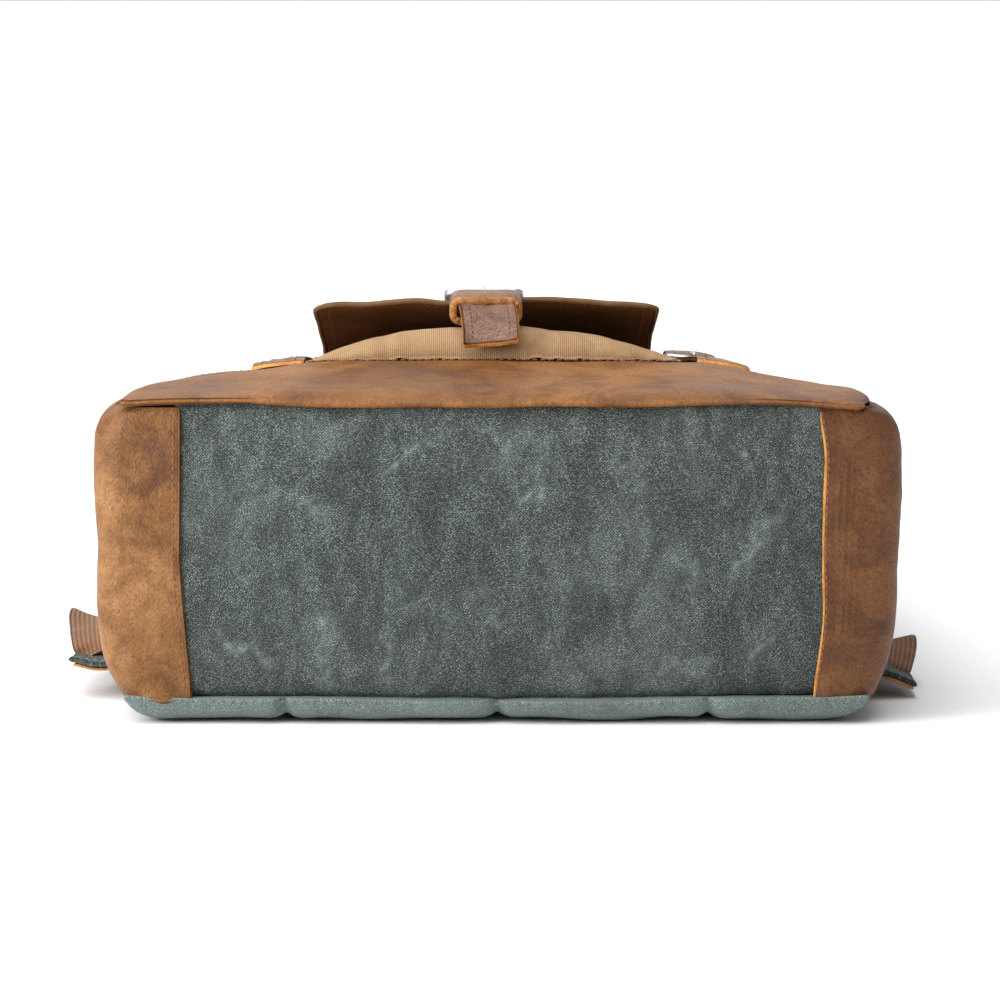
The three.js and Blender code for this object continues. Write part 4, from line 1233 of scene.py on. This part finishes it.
def loop_object(name, centre, half, low_z, high_z, y0, y1, thickness, corner, materials, body, slope=0.0,
                fuzz=0.2):
    """A leather loop: a strip bent round into a closed ring, its cut edges facing along y."""
    half_height = (high_z - low_z) / 2
    middle = (high_z + low_z) / 2
    outline = rounded_outline(half, half_height, corner, 9)
    dense = []
    for here, after in zip(outline, outline[1:] + outline[:1]):
        count = max(1, int(math.dist(here[:2], after[:2]) / LOOP_STEP))
        dense += [tuple(mix(a, b, k / count) for a, b in zip(here, after)) for k in range(count)]
    rings = []
    for k, (px, pz, nx, nz) in enumerate(dense):
        rough = fuzz * (math.sin(1.7 * k) + 0.8 * math.sin(2.9 * k + 1))
        ring = []
        for along, deep in LOOP_SECTION:
            y = mix(y0, y1, along) + (rough if along == 0.0 else 0)
            fall = slope * (along - 1) * (0.5 + 0.5 * pz / half_height)
            ring.append((centre + px - nx * thickness * deep, y, middle + pz + fall - nz * thickness * deep))
        rings.append(ring)
    return tube_object(name, rings, materials, body, True, LOOP_SLOTS)


KEEPER_HALF = 16.0
KEEPER_Z = (158.2, 173.4)


def flap_keeper(m):
    y0, y1 = lowest("flap_keeper")[1], highest("flap_keeper")[1]
    made = loop_object("flap_keeper_loop", FLAP_X, KEEPER_HALF, *KEEPER_Z, y0 - 4.0, y1 - 0.5, 3.3, 5.6,
                       (m["tip_leather"], m["raw_brown"], m["leather_flesh"]), "pocket_flap", 2.8, 0.35)
    stand_in(made, "flap_keeper")


def wire_frame(name, centre, half_x, half_y, corner, radius, place, material, body, bars=(), tall=1.0):
    """A buckle frame of wire, and its bars at shares of its length. place lifts plan coordinates onto
    the bag."""
    rings = []
    for px, py, nx, ny in rounded_outline(half_x, half_y, corner, 8):
        rings.append([place(*centre, px + nx * radius * math.cos(a), py + ny * radius * math.cos(a),
                            radius * tall * math.sin(a)) for a in round_angles(WIRE_SIDES)])
    made = [tube_object(name, rings, (material,), body, True)]
    for k, share in enumerate(bars):
        y = mix(-half_y, half_y, share)
        rings = [[place(*centre, x, y + radius * math.cos(a), radius * 0.95 * math.sin(a))
                  for a in round_angles(WIRE_SIDES)] for x in np.linspace(-half_x, half_x, 7)]
        made.append(tube_object(f"{name}_bar_{k + 1}", rings, (material,), body))
    return made


def prong_object(name, centre, start, end, place, material, body):
    """A buckle prong: a tapered wire with a curl round the bar at its root."""
    rings = []
    for t in np.linspace(0, 1, 16):
        radius = PRONG * (1 - 0.35 * t ** 3) + 0.6 * math.exp(-(t / 0.12) ** 2)
        dip = -0.5 * t ** 6
        rings.append([place(*centre, radius * math.cos(a), mix(start, end, t), radius * math.sin(a) + dip)
                      for a in round_angles(WIRE_SIDES)])
    return tube_object(name, rings, (material,), body)


def on_surface(surface, lift):
    def place(cx, cy, dx, dy, dz):
        x, y = cx + dx, cy + dy
        return x, y, float(surface(np.array(x), np.array(y))) + lift + dz
    return place




def flap_buckle(m):
    middle = lowest("flap_buckle")[1] + BUCKLE_LENGTH / 2
    centre = (FLAP_X - 1.0, middle)
    buckle(m, "flap", "flap", "pocket_flap", centre, BUCKLE_HALF + 1.5, flap_top, 3.4,
           (BUCKLE_LENGTH / 2 - 0.5, 2.4), 1.5)


def buckle(m, label, node, body, centre, half, surface, lift, prong_start, tall):
    """A frame and its prong. prong_start is how far along the frame the prong starts, and how high."""
    start, rise = prong_start
    ring = wire_frame(f"{label}_buckle_frame", centre, half, BUCKLE_LENGTH / 2, BUCKLE_CORNER, WIRE,
                      on_surface(surface, lift), m["metal"], body, (), tall)[0]
    stand_in(ring, f"{node}_buckle")
    prong = prong_object(f"{label}_buckle_prong", centre, start, -BUCKLE_LENGTH / 2 - 0.6,
                         on_surface(surface, lift + rise), m["metal"], f"{node}_prong")
    stand_in(prong, f"{node}_prong")


def button(name, x, y, base, height, radius, material, body, node):
    """A low domed disc on the front."""
    rings = []
    for share, rise in BUTTON_PROFILE:
        out, z = radius * share, base + height * rise
        rings.append([(x + out * math.cos(a), y + out * math.sin(a), z) for a in round_angles(BUTTON_SIDES)])
    made = tube_object(name, rings, (material,), body)
    stand_in(made, node)
    return made


SNAP_Y = 150.0
SNAP_RADIUS = 6.4
RIVET_RADIUS = 2.6


def flap_snap(m):
    base = float(pocket_top(np.array(FLAP_X), np.array(SNAP_Y))) + 0.3
    button("flap_snap_disc", FLAP_X, SNAP_Y, base, 1.2, SNAP_RADIUS, m["metal"], "bag", "flap_snap")


# ------------------------------------------------------------------ lid and its straps

LID_LIFT = 3.4
LID_BEND = 5.0
LID_CORNER = 16.0


def lid_place(u, s):
    """A point of the lid: s counts end wall, bend and front, from the hinge to the free edge."""
    bend_y = LID_BACK - LID_BEND
    y_front = mix(bend_y, LID_EDGE, clamp(s - 2))
    in_corner = clamp((LID_EDGE + LID_CORNER - y_front) / LID_CORNER)
    half = LID_HALF - 1.5 - LID_CORNER * (1 - np.sqrt(1 - in_corner ** 2))
    x = u * half
    bend_z = front_z(x, bend_y) + LID_LIFT - LID_BEND
    angle = clamp(s - 1) * math.pi / 2
    y = np.where(s <= 2, bend_y + LID_BEND * np.cos(angle), y_front)
    z = np.where(s <= 1, mix(LID_LOW, bend_z, clamp(s)), bend_z + LID_BEND * np.sin(angle))
    z = np.where(s > 2, front_z(x, y_front) + LID_LIFT, z)
    return x, y + 0 * x, z


def lid_wrinkles(x, y):
    return 0.9 * waves(x, y, 85, 201) + 0.3 * waves(x, y, 30, 202)


def lid_grid():
    s = np.concatenate([strip(40, 12)[:-1], 2 + np.linspace(0, 1, 90) ** 0.8])[None, :]
    u = np.linspace(-1, 1, 150)[:, None]
    x, y, z = lid_place(u, s)
    ease = smooth(0.0, 0.3, s) * smooth(1.0, 0.9, np.abs(u))
    z = z + lid_wrinkles(x, y) * ease * (s > 1) + 0.4
    y = y + 0.8 * waves(x, z, 60, 203) * ease * (s <= 1)
    return np.stack([x, y, z], axis=2)


def lid(m):
    grid = lid_grid()
    facing = np.zeros_like(grid)
    facing[..., 1] = 1.0
    facing[..., 2] = 1.0
    made = sheet_object("lid_canvas", grid, 1.6, facing, lined(m, "green"), "lid")
    stand_in(made, "lid")
    left = grid[0, 50:]
    front = grid[1:-1, -1]
    right = grid[-1, 50:][::-1]
    path = np.concatenate([left, front, right]) - np.array([0, 0, 0.8])
    hem = cord_along("lid_binding", path, 1.7, m["leather"], "lid", 0.9)
    rows = [row_on_grid(grid, facing, -5, 0, 3, -3)]
    stitches("lid_stitches", rows, m["thread_green"], "lid", pitch=4.0)


STRAP_RISE = {-1: (2.3, 4.3, 1.0), 1: (3.1, 4.5, 3.6)}      # at the tip, over the snap, and the hump


def strap_rise(y, side):
    """How high a lid strap's face runs off the front: low at its tip, clear of the snap behind it,
    with a hump over the buckle's far bar."""
    tip, clear, hump = STRAP_RISE[side]
    over_snap = smooth(LID_STRAP_TIP + 2, LID_STRAP_TIP + 14, y)
    return mix(tip, clear, over_snap) + hump * np.exp(-((y - LID_BUCKLE_Y - BUCKLE_LENGTH) / 9.0) ** 2)


def strap_middle(side, y):
    """The straps lie a little askew: their tips have swung to the right."""
    if side > 0:
        return LID_STRAP_X - 10.0 + 12.5 * smooth(160, LID_STRAP_TIP + 6, y)
    return -LID_STRAP_X + 5.0 - 4.5 * smooth(175, LID_STRAP_TIP, y)


LID_BUCKLE_Y = 140.0
LID_KEEPER_Y = 185.0


def lid_strap(m, side, label):
    y = np.concatenate([np.linspace(LID_STRAP_END, 190, 50)[:-1], np.linspace(190, LID_STRAP_TIP, 90)])
    x = strap_middle(side, y)
    t = np.linspace(-1, 1, 17)[None, :]
    across = x[:, None] + t * (LID_STRAP_WIDTH / 2 - 0.3)
    z = front_z(across, y[:, None]) + strap_rise(y, side)[:, None] - 0.5 * t ** 2
    along = y[:, None] + 0 * across
    on_lid = front_z(across, along) + LID_LIFT + 2.7 + lid_wrinkles(across, along)
    z = mix(z, np.maximum(z, on_lid), smooth(LID_EDGE - 16, LID_EDGE - 2, along))
    z = z + 0.15 * waves(across, y[:, None], 15, 211 + side)
    grid = grid_of(across, y[:, None], z)
    made = sheet_object(f"{label}_lid_strap_leather", grid, 2.0, (0, 0, 1),
                        (m["tip_leather"], m["raw"], m["raw"], m["leather_dark"]), "lid",
                        (0.2, 1.0, 0.2, 0.2), 0.15, (3, 2, 3, 3))
    stand_in(made, f"{label}_lid_strap")
    rows = [row_on_grid(grid, (0, 0, 1), column, 0, 3, -3) for column in (3, -4)]
    stitches(f"{label}_lid_strap_stitches", rows, m["thread_dark"], "lid", pitch=2.8, length=2.0, radius=0.32)
    middle = float(strap_middle(side, LID_KEEPER_Y + 4.0))
    base = float(front_z(np.array(middle), np.array(LID_KEEPER_Y)))
    loop_top = base + (6.4 if side > 0 else 5.2)
    keeper = loop_object(f"{label}_lid_strap_keeper", middle, 14.0, base + 0.5, loop_top, LID_KEEPER_Y,
                         LID_KEEPER_Y + 9, 1.5, 2.2,
                         (m["tip_leather"], m["raw_brown"], m["leather_flesh"]), "lid")


def lid_buckle(m, side, label):
    middle = LID_BUCKLE_Y + BUCKLE_LENGTH / 2
    lift = 3.6 if side > 0 else 2.4
    buckle(m, f"{label}_lid", f"{label}_lid", "lid", (float(strap_middle(side, middle)), middle),
           BUCKLE_HALF - 1.2, front_z, lift, (2.0, 2.5), 1.3)


CHAPE_TOP = 1.3


def chape(m, side, label):
    x0, x1 = low(f"{label}_chape")[0], high(f"{label}_chape")[0]
    y0, y1 = lowest(f"{label}_chape")[1], highest(f"{label}_chape")[1]
    x = np.linspace(x0, x1, 20)[:, None]
    y = np.linspace(y0, y1, 40)[None, :]
    z = front_z(x, y) + CHAPE_TOP - 0.3 * ((x - (x0 + x1) / 2) / 13) ** 2
    grid = grid_of(x, y, z)
    made = sheet_object(f"{label}_chape_leather", grid, 1.0, (0, 0, 1), (m["leather"], m["raw"], m["raw"]),
                        "bag")
    stand_in(made, f"{label}_chape")
    rows = [row_on_grid(grid, (0, 0, 1), i, 1, 3, -3) for i in (3, -4)]
    stitches(f"{label}_chape_stitches", rows, m["thread_dark"], "bag", pitch=2.8, length=2.0, radius=0.3)
    middle = (x0 + x1) / 2
    for what, node, y, radius in (("snap", "lid_snap", 135, SNAP_RADIUS),
                                  ("rivet", "chape_rivet", 167, RIVET_RADIUS)):
        base = float(front_z(np.array(middle), np.array(y))) + CHAPE_TOP - 0.1
        button(f"{label}_chape_{what}", middle, y, base, 0.9, radius, m["metal"], "bag", f"{label}_{node}")


# ------------------------------------------------------------------ mouth and inside

def mouth_outline():
    """The bag's outline at its mouth as one closed loop in x and z, and the way out of it."""
    y = MOUTH_Y
    half = float(seam_half(y))
    u = np.linspace(-1, 1, 61)[:-1]
    v = np.linspace(0, 1, 41)[:-1]
    bottom = [(a * half, float(back_seam(y)) - 2.0) for a in u]
    right = [(half + float(side_bulge(b)) * 0.75 - 2, float(wall_z(b, y, 2))) for b in v]
    top = [(a * half, float(front_z(a * half, y)) - 1.5) for a in -u]
    left = [(-half - float(side_bulge(b)) * 0.75 + 2, float(wall_z(b, y, 2))) for b in 1 - v]
    return np.array(bottom + right + top + left)


def mouth_binding(m):
    outline = mouth_outline()
    for _ in range(4):
        outline = (np.roll(outline, 1, axis=0) + outline * 2 + np.roll(outline, -1, axis=0)) / 4
    tangent = unit(np.roll(outline, -1, axis=0) - np.roll(outline, 1, axis=0))
    out = np.stack([tangent[:, 1], -tangent[:, 0]], axis=1)
    rings = []
    for (x, z), (nx, nz) in zip(outline, out):
        ring = []
        for a in round_angles(WIRE_SIDES):
            spread = 2.1 * math.cos(a)
            ring.append((x + nx * spread, MOUTH_Y + 1.8 + 2.0 * math.sin(a), z + nz * spread))
        rings.append(ring)
    made = tube_object("mouth_edge_binding", rings, (m["leather"],), "bag", True)
    stand_in(made, "mouth_binding")


LINING_Y = 6.8                              # the tub's closed end
LINING_SQUARE = 0.32


def lining(m):
    """The cotton tub inside, closed at the bottom end."""
    angle = np.linspace(0, math.tau, 120)[:, None]
    level = np.concatenate([np.linspace(0, 1, 14)[:-1], 1 + np.linspace(0, 1, 60)])[None, :]
    y = mix(LINING_Y, MOUTH_Y - 1.5, clamp(level - 1))
    shrink = np.where(level <= 1, np.sqrt(np.clip(level, 0.0005, 1)), 1.0)
    half = (seam_half(y) - 5.5) * shrink
    z0 = back_seam(y) + 1.8
    z1 = front_z(seam_half(y), y) - 5.5
    x = half * squared(np.cos(angle), LINING_SQUARE)
    z = (z0 + z1) / 2 + (z1 - z0) / 2 * shrink * squared(np.sin(angle), LINING_SQUARE)
    grid = grid_of(x, y, z)
    centre = np.array([0, 0, 70])
    facing = (grid - centre) * np.array([1, 0, 1])
    facing[:, :13, 1] = -200
    made = sheet_object("cotton_tub", grid, 0.5, facing, (m["cotton"],) * 3, "bag")
    stand_in(made, "lining")


def puffed_board(name, x0, x1, y0, y1, base, thickness, roundness, materials, body, bumps=0.0, seed=1):
    """A flat pad: both faces curve together at its rounded edges. base is a height or a function."""
    eased = (1 - np.cos(np.linspace(0, math.pi, 90))) / 2
    x = mix(x0, x1, eased)[:, None]
    y = mix(y0, y1, eased)[None, :]
    inset = np.minimum(np.minimum(x - x0, x1 - x), np.minimum(y - y0, y1 - y))
    full = np.sqrt(1 - (1 - clamp(inset / roundness)) ** 2)
    ground = base(x, y) if callable(base) else base
    middle = ground + thickness / 2
    swell = bumps * waves(x, y, 45, seed) * full
    half = (thickness / 2 - 0.3) * full
    return pad_object(name, grid_of(x, y, middle - half), middle + half + swell, materials, body)


def over_back(x, y):
    return back_seam(y) + 12 + 0 * x


def sleeve(m):
    x0, y0 = lowest("sleeve_panel")[:2]
    x1, y1 = highest("sleeve_panel")[:2]
    made = puffed_board("sleeve_pad", x0, x1, y0, y1, over_back, 5.0, 5.0,
                        (m["cotton"],) * 3, "bag", 0.3, 221)
    stand_in(made, "sleeve_panel")


def yoke(m):
    x0, y0, z0 = lowest("yoke")
    x1, y1, z1 = highest("yoke")
    made = puffed_board("yoke_leather", x0, x1, y0, y1, z0 - 0.3, z1 - z0 + 0.3, 6.0,
                        (m["leather"], m["leather"], m["raw"]), "bag", 0.1, 222)
    stand_in(made, "yoke")


# ------------------------------------------------------------------ handle, shoulder straps, webbing

HANDLE_WIDTH = 12.0
HANDLE_SQUARE = 0.75


def carry_handle(m):
    """A rolled leather handle on the yoke."""
    x1 = high("carry_handle")[0]
    y0, y1 = lowest("carry_handle")[1], highest("carry_handle")[1]
    z0, z1 = low("carry_handle")[2], high("carry_handle")[2]
    rings = []
    for a in np.linspace(0, math.pi, 70):
        ring = []
        for b in round_angles(20):
            inset = HANDLE_WIDTH / 2 - (HANDLE_WIDTH / 2 - 0.3) * squared(math.cos(b), HANDLE_SQUARE)
            rise = (z1 - z0 - 0.6) / 2 * squared(math.sin(b), HANDLE_SQUARE)
            ring.append((-(x1 - inset) * math.cos(a), y0 + (y1 - y0 - inset) * math.sin(a),
                         (z0 + z1) / 2 + rise))
        rings.append(ring)
    made = tube_object("rolled_handle", rings, (m["leather"],), "carry_handle")
    stand_in(made, "carry_handle")
    path = np.array([(-(x1 - 3.0) * math.cos(a), y0 + (y1 - y0 - 3.0) * math.sin(a), z1 - 0.55)
                     for a in np.linspace(0.05, math.pi - 0.05, 90)])
    stitches("handle_stitches", [(path, np.tile([0.0, 0.0, 1.0], (90, 1)))], m["thread_tan"], "carry_handle",
             pitch=4.0)


PAD_ROUTE = ((36, 342), (44, 300), (72, 254), (107, 214), (131, 171))
PAD_HALF = 28.0
PAD_LOW, PAD_HIGH = 0.5, 8.5


def shoulder_pad(m, side, label):
    """A padded strap: canvas over foam, fuller in its middle, with a sewn channel along each edge."""
    route = spline([(side * x, y, (PAD_LOW + PAD_HIGH) / 2) for x, y in PAD_ROUTE], 110)
    across = np.cross(unit(np.gradient(route, axis=0)), (0.0, 0.0, 1.0))
    thick = (PAD_HIGH - PAD_LOW) / 2
    rings = []
    for k, (p, a) in enumerate(zip(route, across)):
        end = min(k, len(route) - 1 - k) / 6
        close = math.sqrt(1 - (1 - min(1, end)) ** 2) * 0.5 + 0.5
        ring = []
        for b in round_angles(40):
            out = PAD_HALF * squared(math.cos(b), 0.6)
            channel = 0.35 * math.exp(-((abs(out) - PAD_HALF + 5) / 1.3) ** 2)
            rise = thick * squared(math.sin(b), 0.55) * (1 - channel) * close
            rise *= 1 - 0.08 * math.sin(k * 0.9 + out * 0.12) ** 2
            ring.append((p[0] + a[0] * out, p[1] + a[1] * out, p[2] + rise))
        rings.append(ring)
    made = tube_object(f"{label}_padded_strap", rings, (m["quilt"],), f"{label}_shoulder_strap")
    stand_in(made, f"{label}_shoulder_pad")
    rows = []
    for edge in (-1, 1):
        path = route + across * edge * (PAD_HALF - 5) + np.array([0, 0, -thick * 0.66])
        rows.append((path[4:-4], np.tile([0.0, 0.0, -1.0], (len(path) - 8, 1))))
    stitches(f"{label}_pad_stitches", rows, m["thread_green"], f"{label}_shoulder_strap", pitch=4.0)
    return route


def adjuster(m, label, route):
    """A ladder lock: a frame with a bar, at the end of its pad."""
    centre = (lowest(f"{label}_adjuster") + highest(f"{label}_adjuster")) / 2
    direction = route[-1] - route[-4]
    turn = math.atan2(direction[0], -direction[1])
    cos_t, sin_t = math.cos(turn), math.sin(turn)

    def place(px, py, dx, dy, dz):
        return px + dx * cos_t - dy * sin_t, py + dx * sin_t + dy * cos_t, centre[2] + dz

    frame_parts = wire_frame(f"{label}_ladder_lock", centre[:2], 15.4, 6.4, 2.6, 1.55, place, m["metal"],
                             f"{label}_shoulder_strap", (0.5,))
    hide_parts(f"{label}_adjuster")


WEB_START = ((145, 148, 4.4), (151, 134, 3.8))
WEB_ROUTE = {
    -1: WEB_START + ((160, 121, 6.0), (170.5, 112, 12.5), (176.2, 103, 23), (176.2, 92, 30), (175.2, 81, 28),
                     (174, 72, 23.5), (173, 68, 19)),
    1: WEB_START + ((159, 121, 4.6), (167, 112, 8.5), (172, 103, 14.5), (172.5, 92, 19.5), (171.5, 81, 18.5),
                    (170, 72, 14.5), (169, 68, 10.5)),
}
WEB_WIDTH = 25.0


def webbing(m, side, label):
    """The lower strap: out of its tab, over and down behind it, and along the ground to the adjuster."""
    path = spline([(side * x, y, z) for x, y, z in WEB_ROUTE[side]], 120)
    grid = ribbon_grid(path[::-1], (side * 0.8, 0.6, 0), WEB_WIDTH, 0.5, 25)
    made = sheet_object(f"{label}_lower_webbing", grid, 1.8, (side, -0.5, 0.6),
                        (m["webbing"],) * 3, None)
    stand_in(made, f"{label}_webbing")
    return made, metres(path[-1]), metres(path[0])


def strap_tab(m, side, label):
    """A canvas tab out of the back seam over a leather backing, tapering toward its end."""
    x0, x1 = 156.0, 185.0
    fall = 1.6 if side < 0 else 9.0
    top = 17.6 if side < 0 else 15.6
    u = np.linspace(0, 1, 40)[:, None]
    t = np.linspace(0, 1, 40)[None, :]
    x = mix(x0, x1 if side < 0 else x1 - 3, u)
    y = mix(50 + 6 * u, 86 - 6 * u, t)
    curl = 2.2 * smooth(0.6, 1.0, u) * (1 - t) if side < 0 else 0.8 * np.sin(3 * u)
    z = top - fall * u ** 1.3 + curl + 0.35 * waves(x + 0 * y, y, 20, 231 + side)
    grid = grid_of(side * x, y, z)
    made = sheet_object(f"{label}_tab_canvas", grid, 2.6, (0, 0, 1), (m["green"],) * 3, "bag")
    stand_in(made, f"{label}_strap_tab")
    rows = [row_on_grid(grid, (0, 0, 1), 4, 0, 3, -3), row_on_grid(grid, (0, 0, 1), -5, 0, 3, -3)]
    stitches(f"{label}_tab_stitches", rows, m["thread_green"], "bag", pitch=3.4)
    below = grid - np.array([0, 0, 2.9])
    inner = below[:-2, 2:-2]
    backing = sheet_object(f"{label}_tab_leather", inner, 1.5, (0, 0, 1),
                           (m["leather"], m["leather"], m["raw"]), "bag")
    stand_in(backing, f"{label}_tab_backing")


def board(m):
    x0, y0, z0 = lowest("bottom_board")
    x1, y1, z1 = highest("bottom_board")
    x = np.linspace(x0, x1, 12)[:, None]
    z = np.linspace(z0, z1, 8)[None, :]
    grid = grid_of(x, y0, z)
    made = sheet_object("stiffener", grid, y1 - y0, (0, -1, 0), (m["board"],) * 3, "bag")
    stand_in(made, "bottom_board")


# ------------------------------------------------------------------ camera, light, stage

CAMERA_BACK = 1500.0
CAMERA_HEIGHT = 300.0
CAMERA_TILT = 7.8
CAMERA_X = 1.2
LENS = 131.4
SENSOR = 36.0
SUN_SPREAD = 60.0
WORLD_STRENGTH = 0.30


def add_camera():
    data = bpy.data.cameras.new("camera")
    data.lens = LENS
    data.sensor_width = SENSOR
    data.clip_end = 3 * FLOOR_REACH
    camera = bpy.data.objects.new("camera", data)
    bpy.context.scene.collection.objects.link(camera)
    camera.location = metres(np.array([CAMERA_X, -CAMERA_BACK, CAMERA_HEIGHT]))
    camera.rotation_euler = (math.radians(90 - CAMERA_TILT), 0, 0)
    bpy.context.scene.camera = camera


def add_light(name, kind, direction, power):
    """A light that shines along a direction, and its data."""
    data = bpy.data.lights.new(name, kind)
    data.energy = power
    light = bpy.data.objects.new(name, data)
    bpy.context.scene.collection.objects.link(light)
    light.rotation_euler = Vector(direction).to_track_quat("-Z", "Y").to_euler()
    return light, data


def area_light(name, place, target, size, power):
    light, data = add_light(name, "AREA", Vector(target) - Vector(place), power)
    light.location = place
    data.shape = "RECTANGLE"
    data.size, data.size_y = size


FLOOR_REACH = 2500.0


def add_stage():
    """A plain pale floor that runs to the horizon."""
    corners = [(-FLOOR_REACH, -FLOOR_REACH, 0), (FLOOR_REACH, -FLOOR_REACH, 0), (FLOOR_REACH, FLOOR_REACH, 0),
               (-FLOOR_REACH, FLOOR_REACH, 0)]
    mesh = bpy.data.meshes.new("floor")
    mesh.from_pydata(corners, [], [(0, 1, 2, 3)])
    s = Shader("pale_floor")
    mesh.materials.append(s.finish((0.88, 0.88, 0.89), 0.9, Specular_IOR_Level=0.1))
    stage = bpy.data.objects.new("floor", mesh)
    bpy.context.scene.collection.objects.link(stage)


def add_lights():
    world = bpy.data.worlds.new("studio")
    world.use_nodes = True
    background = world.node_tree.nodes["Background"]
    background.inputs["Color"].default_value = (1.0, 1.0, 1.0, 1)
    background.inputs["Strength"].default_value = WORLD_STRENGTH
    bpy.context.scene.world = world
    overhead = add_light("overhead", "SUN", (0.22, 0.12, -1.0), 3.1)[1]
    overhead.angle = math.radians(SUN_SPREAD)
    area_light("key", (-0.80, -0.62, 0.42), (-0.14, -0.2, 0.06), (0.45, 0.45), 8.5)
    area_light("back", (0.0, 2.2, 1.0), (0, 0, 0.1), (2.6, 1.1), 9)
    bpy.context.scene.view_settings.view_transform = "Standard"


# ------------------------------------------------------------------ build

MATERIALS = make_materials()
add_camera()
add_lights()
add_stage()
for build in (bottom_canvas, board, base_band, front_canvas, quilted_back, front_pocket, pocket_flap,
              flap_strap, flap_keeper, flap_buckle, lid, mouth_binding, lining, sleeve, yoke, carry_handle,
              flap_snap):
    build(MATERIALS)
for SIDE, LABEL in ((-1, "left"), (1, "right")):
    for build in (corner_patch, side_canvas, lid_strap, lid_buckle, chape, strap_tab):
        build(MATERIALS, SIDE, LABEL)
    ROUTE = shoulder_pad(MATERIALS, SIDE, LABEL)
    adjuster(MATERIALS, LABEL, ROUTE)
    WEB, FIXED_END, MOVING_END = webbing(MATERIALS, SIDE, LABEL)
    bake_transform(WEB)
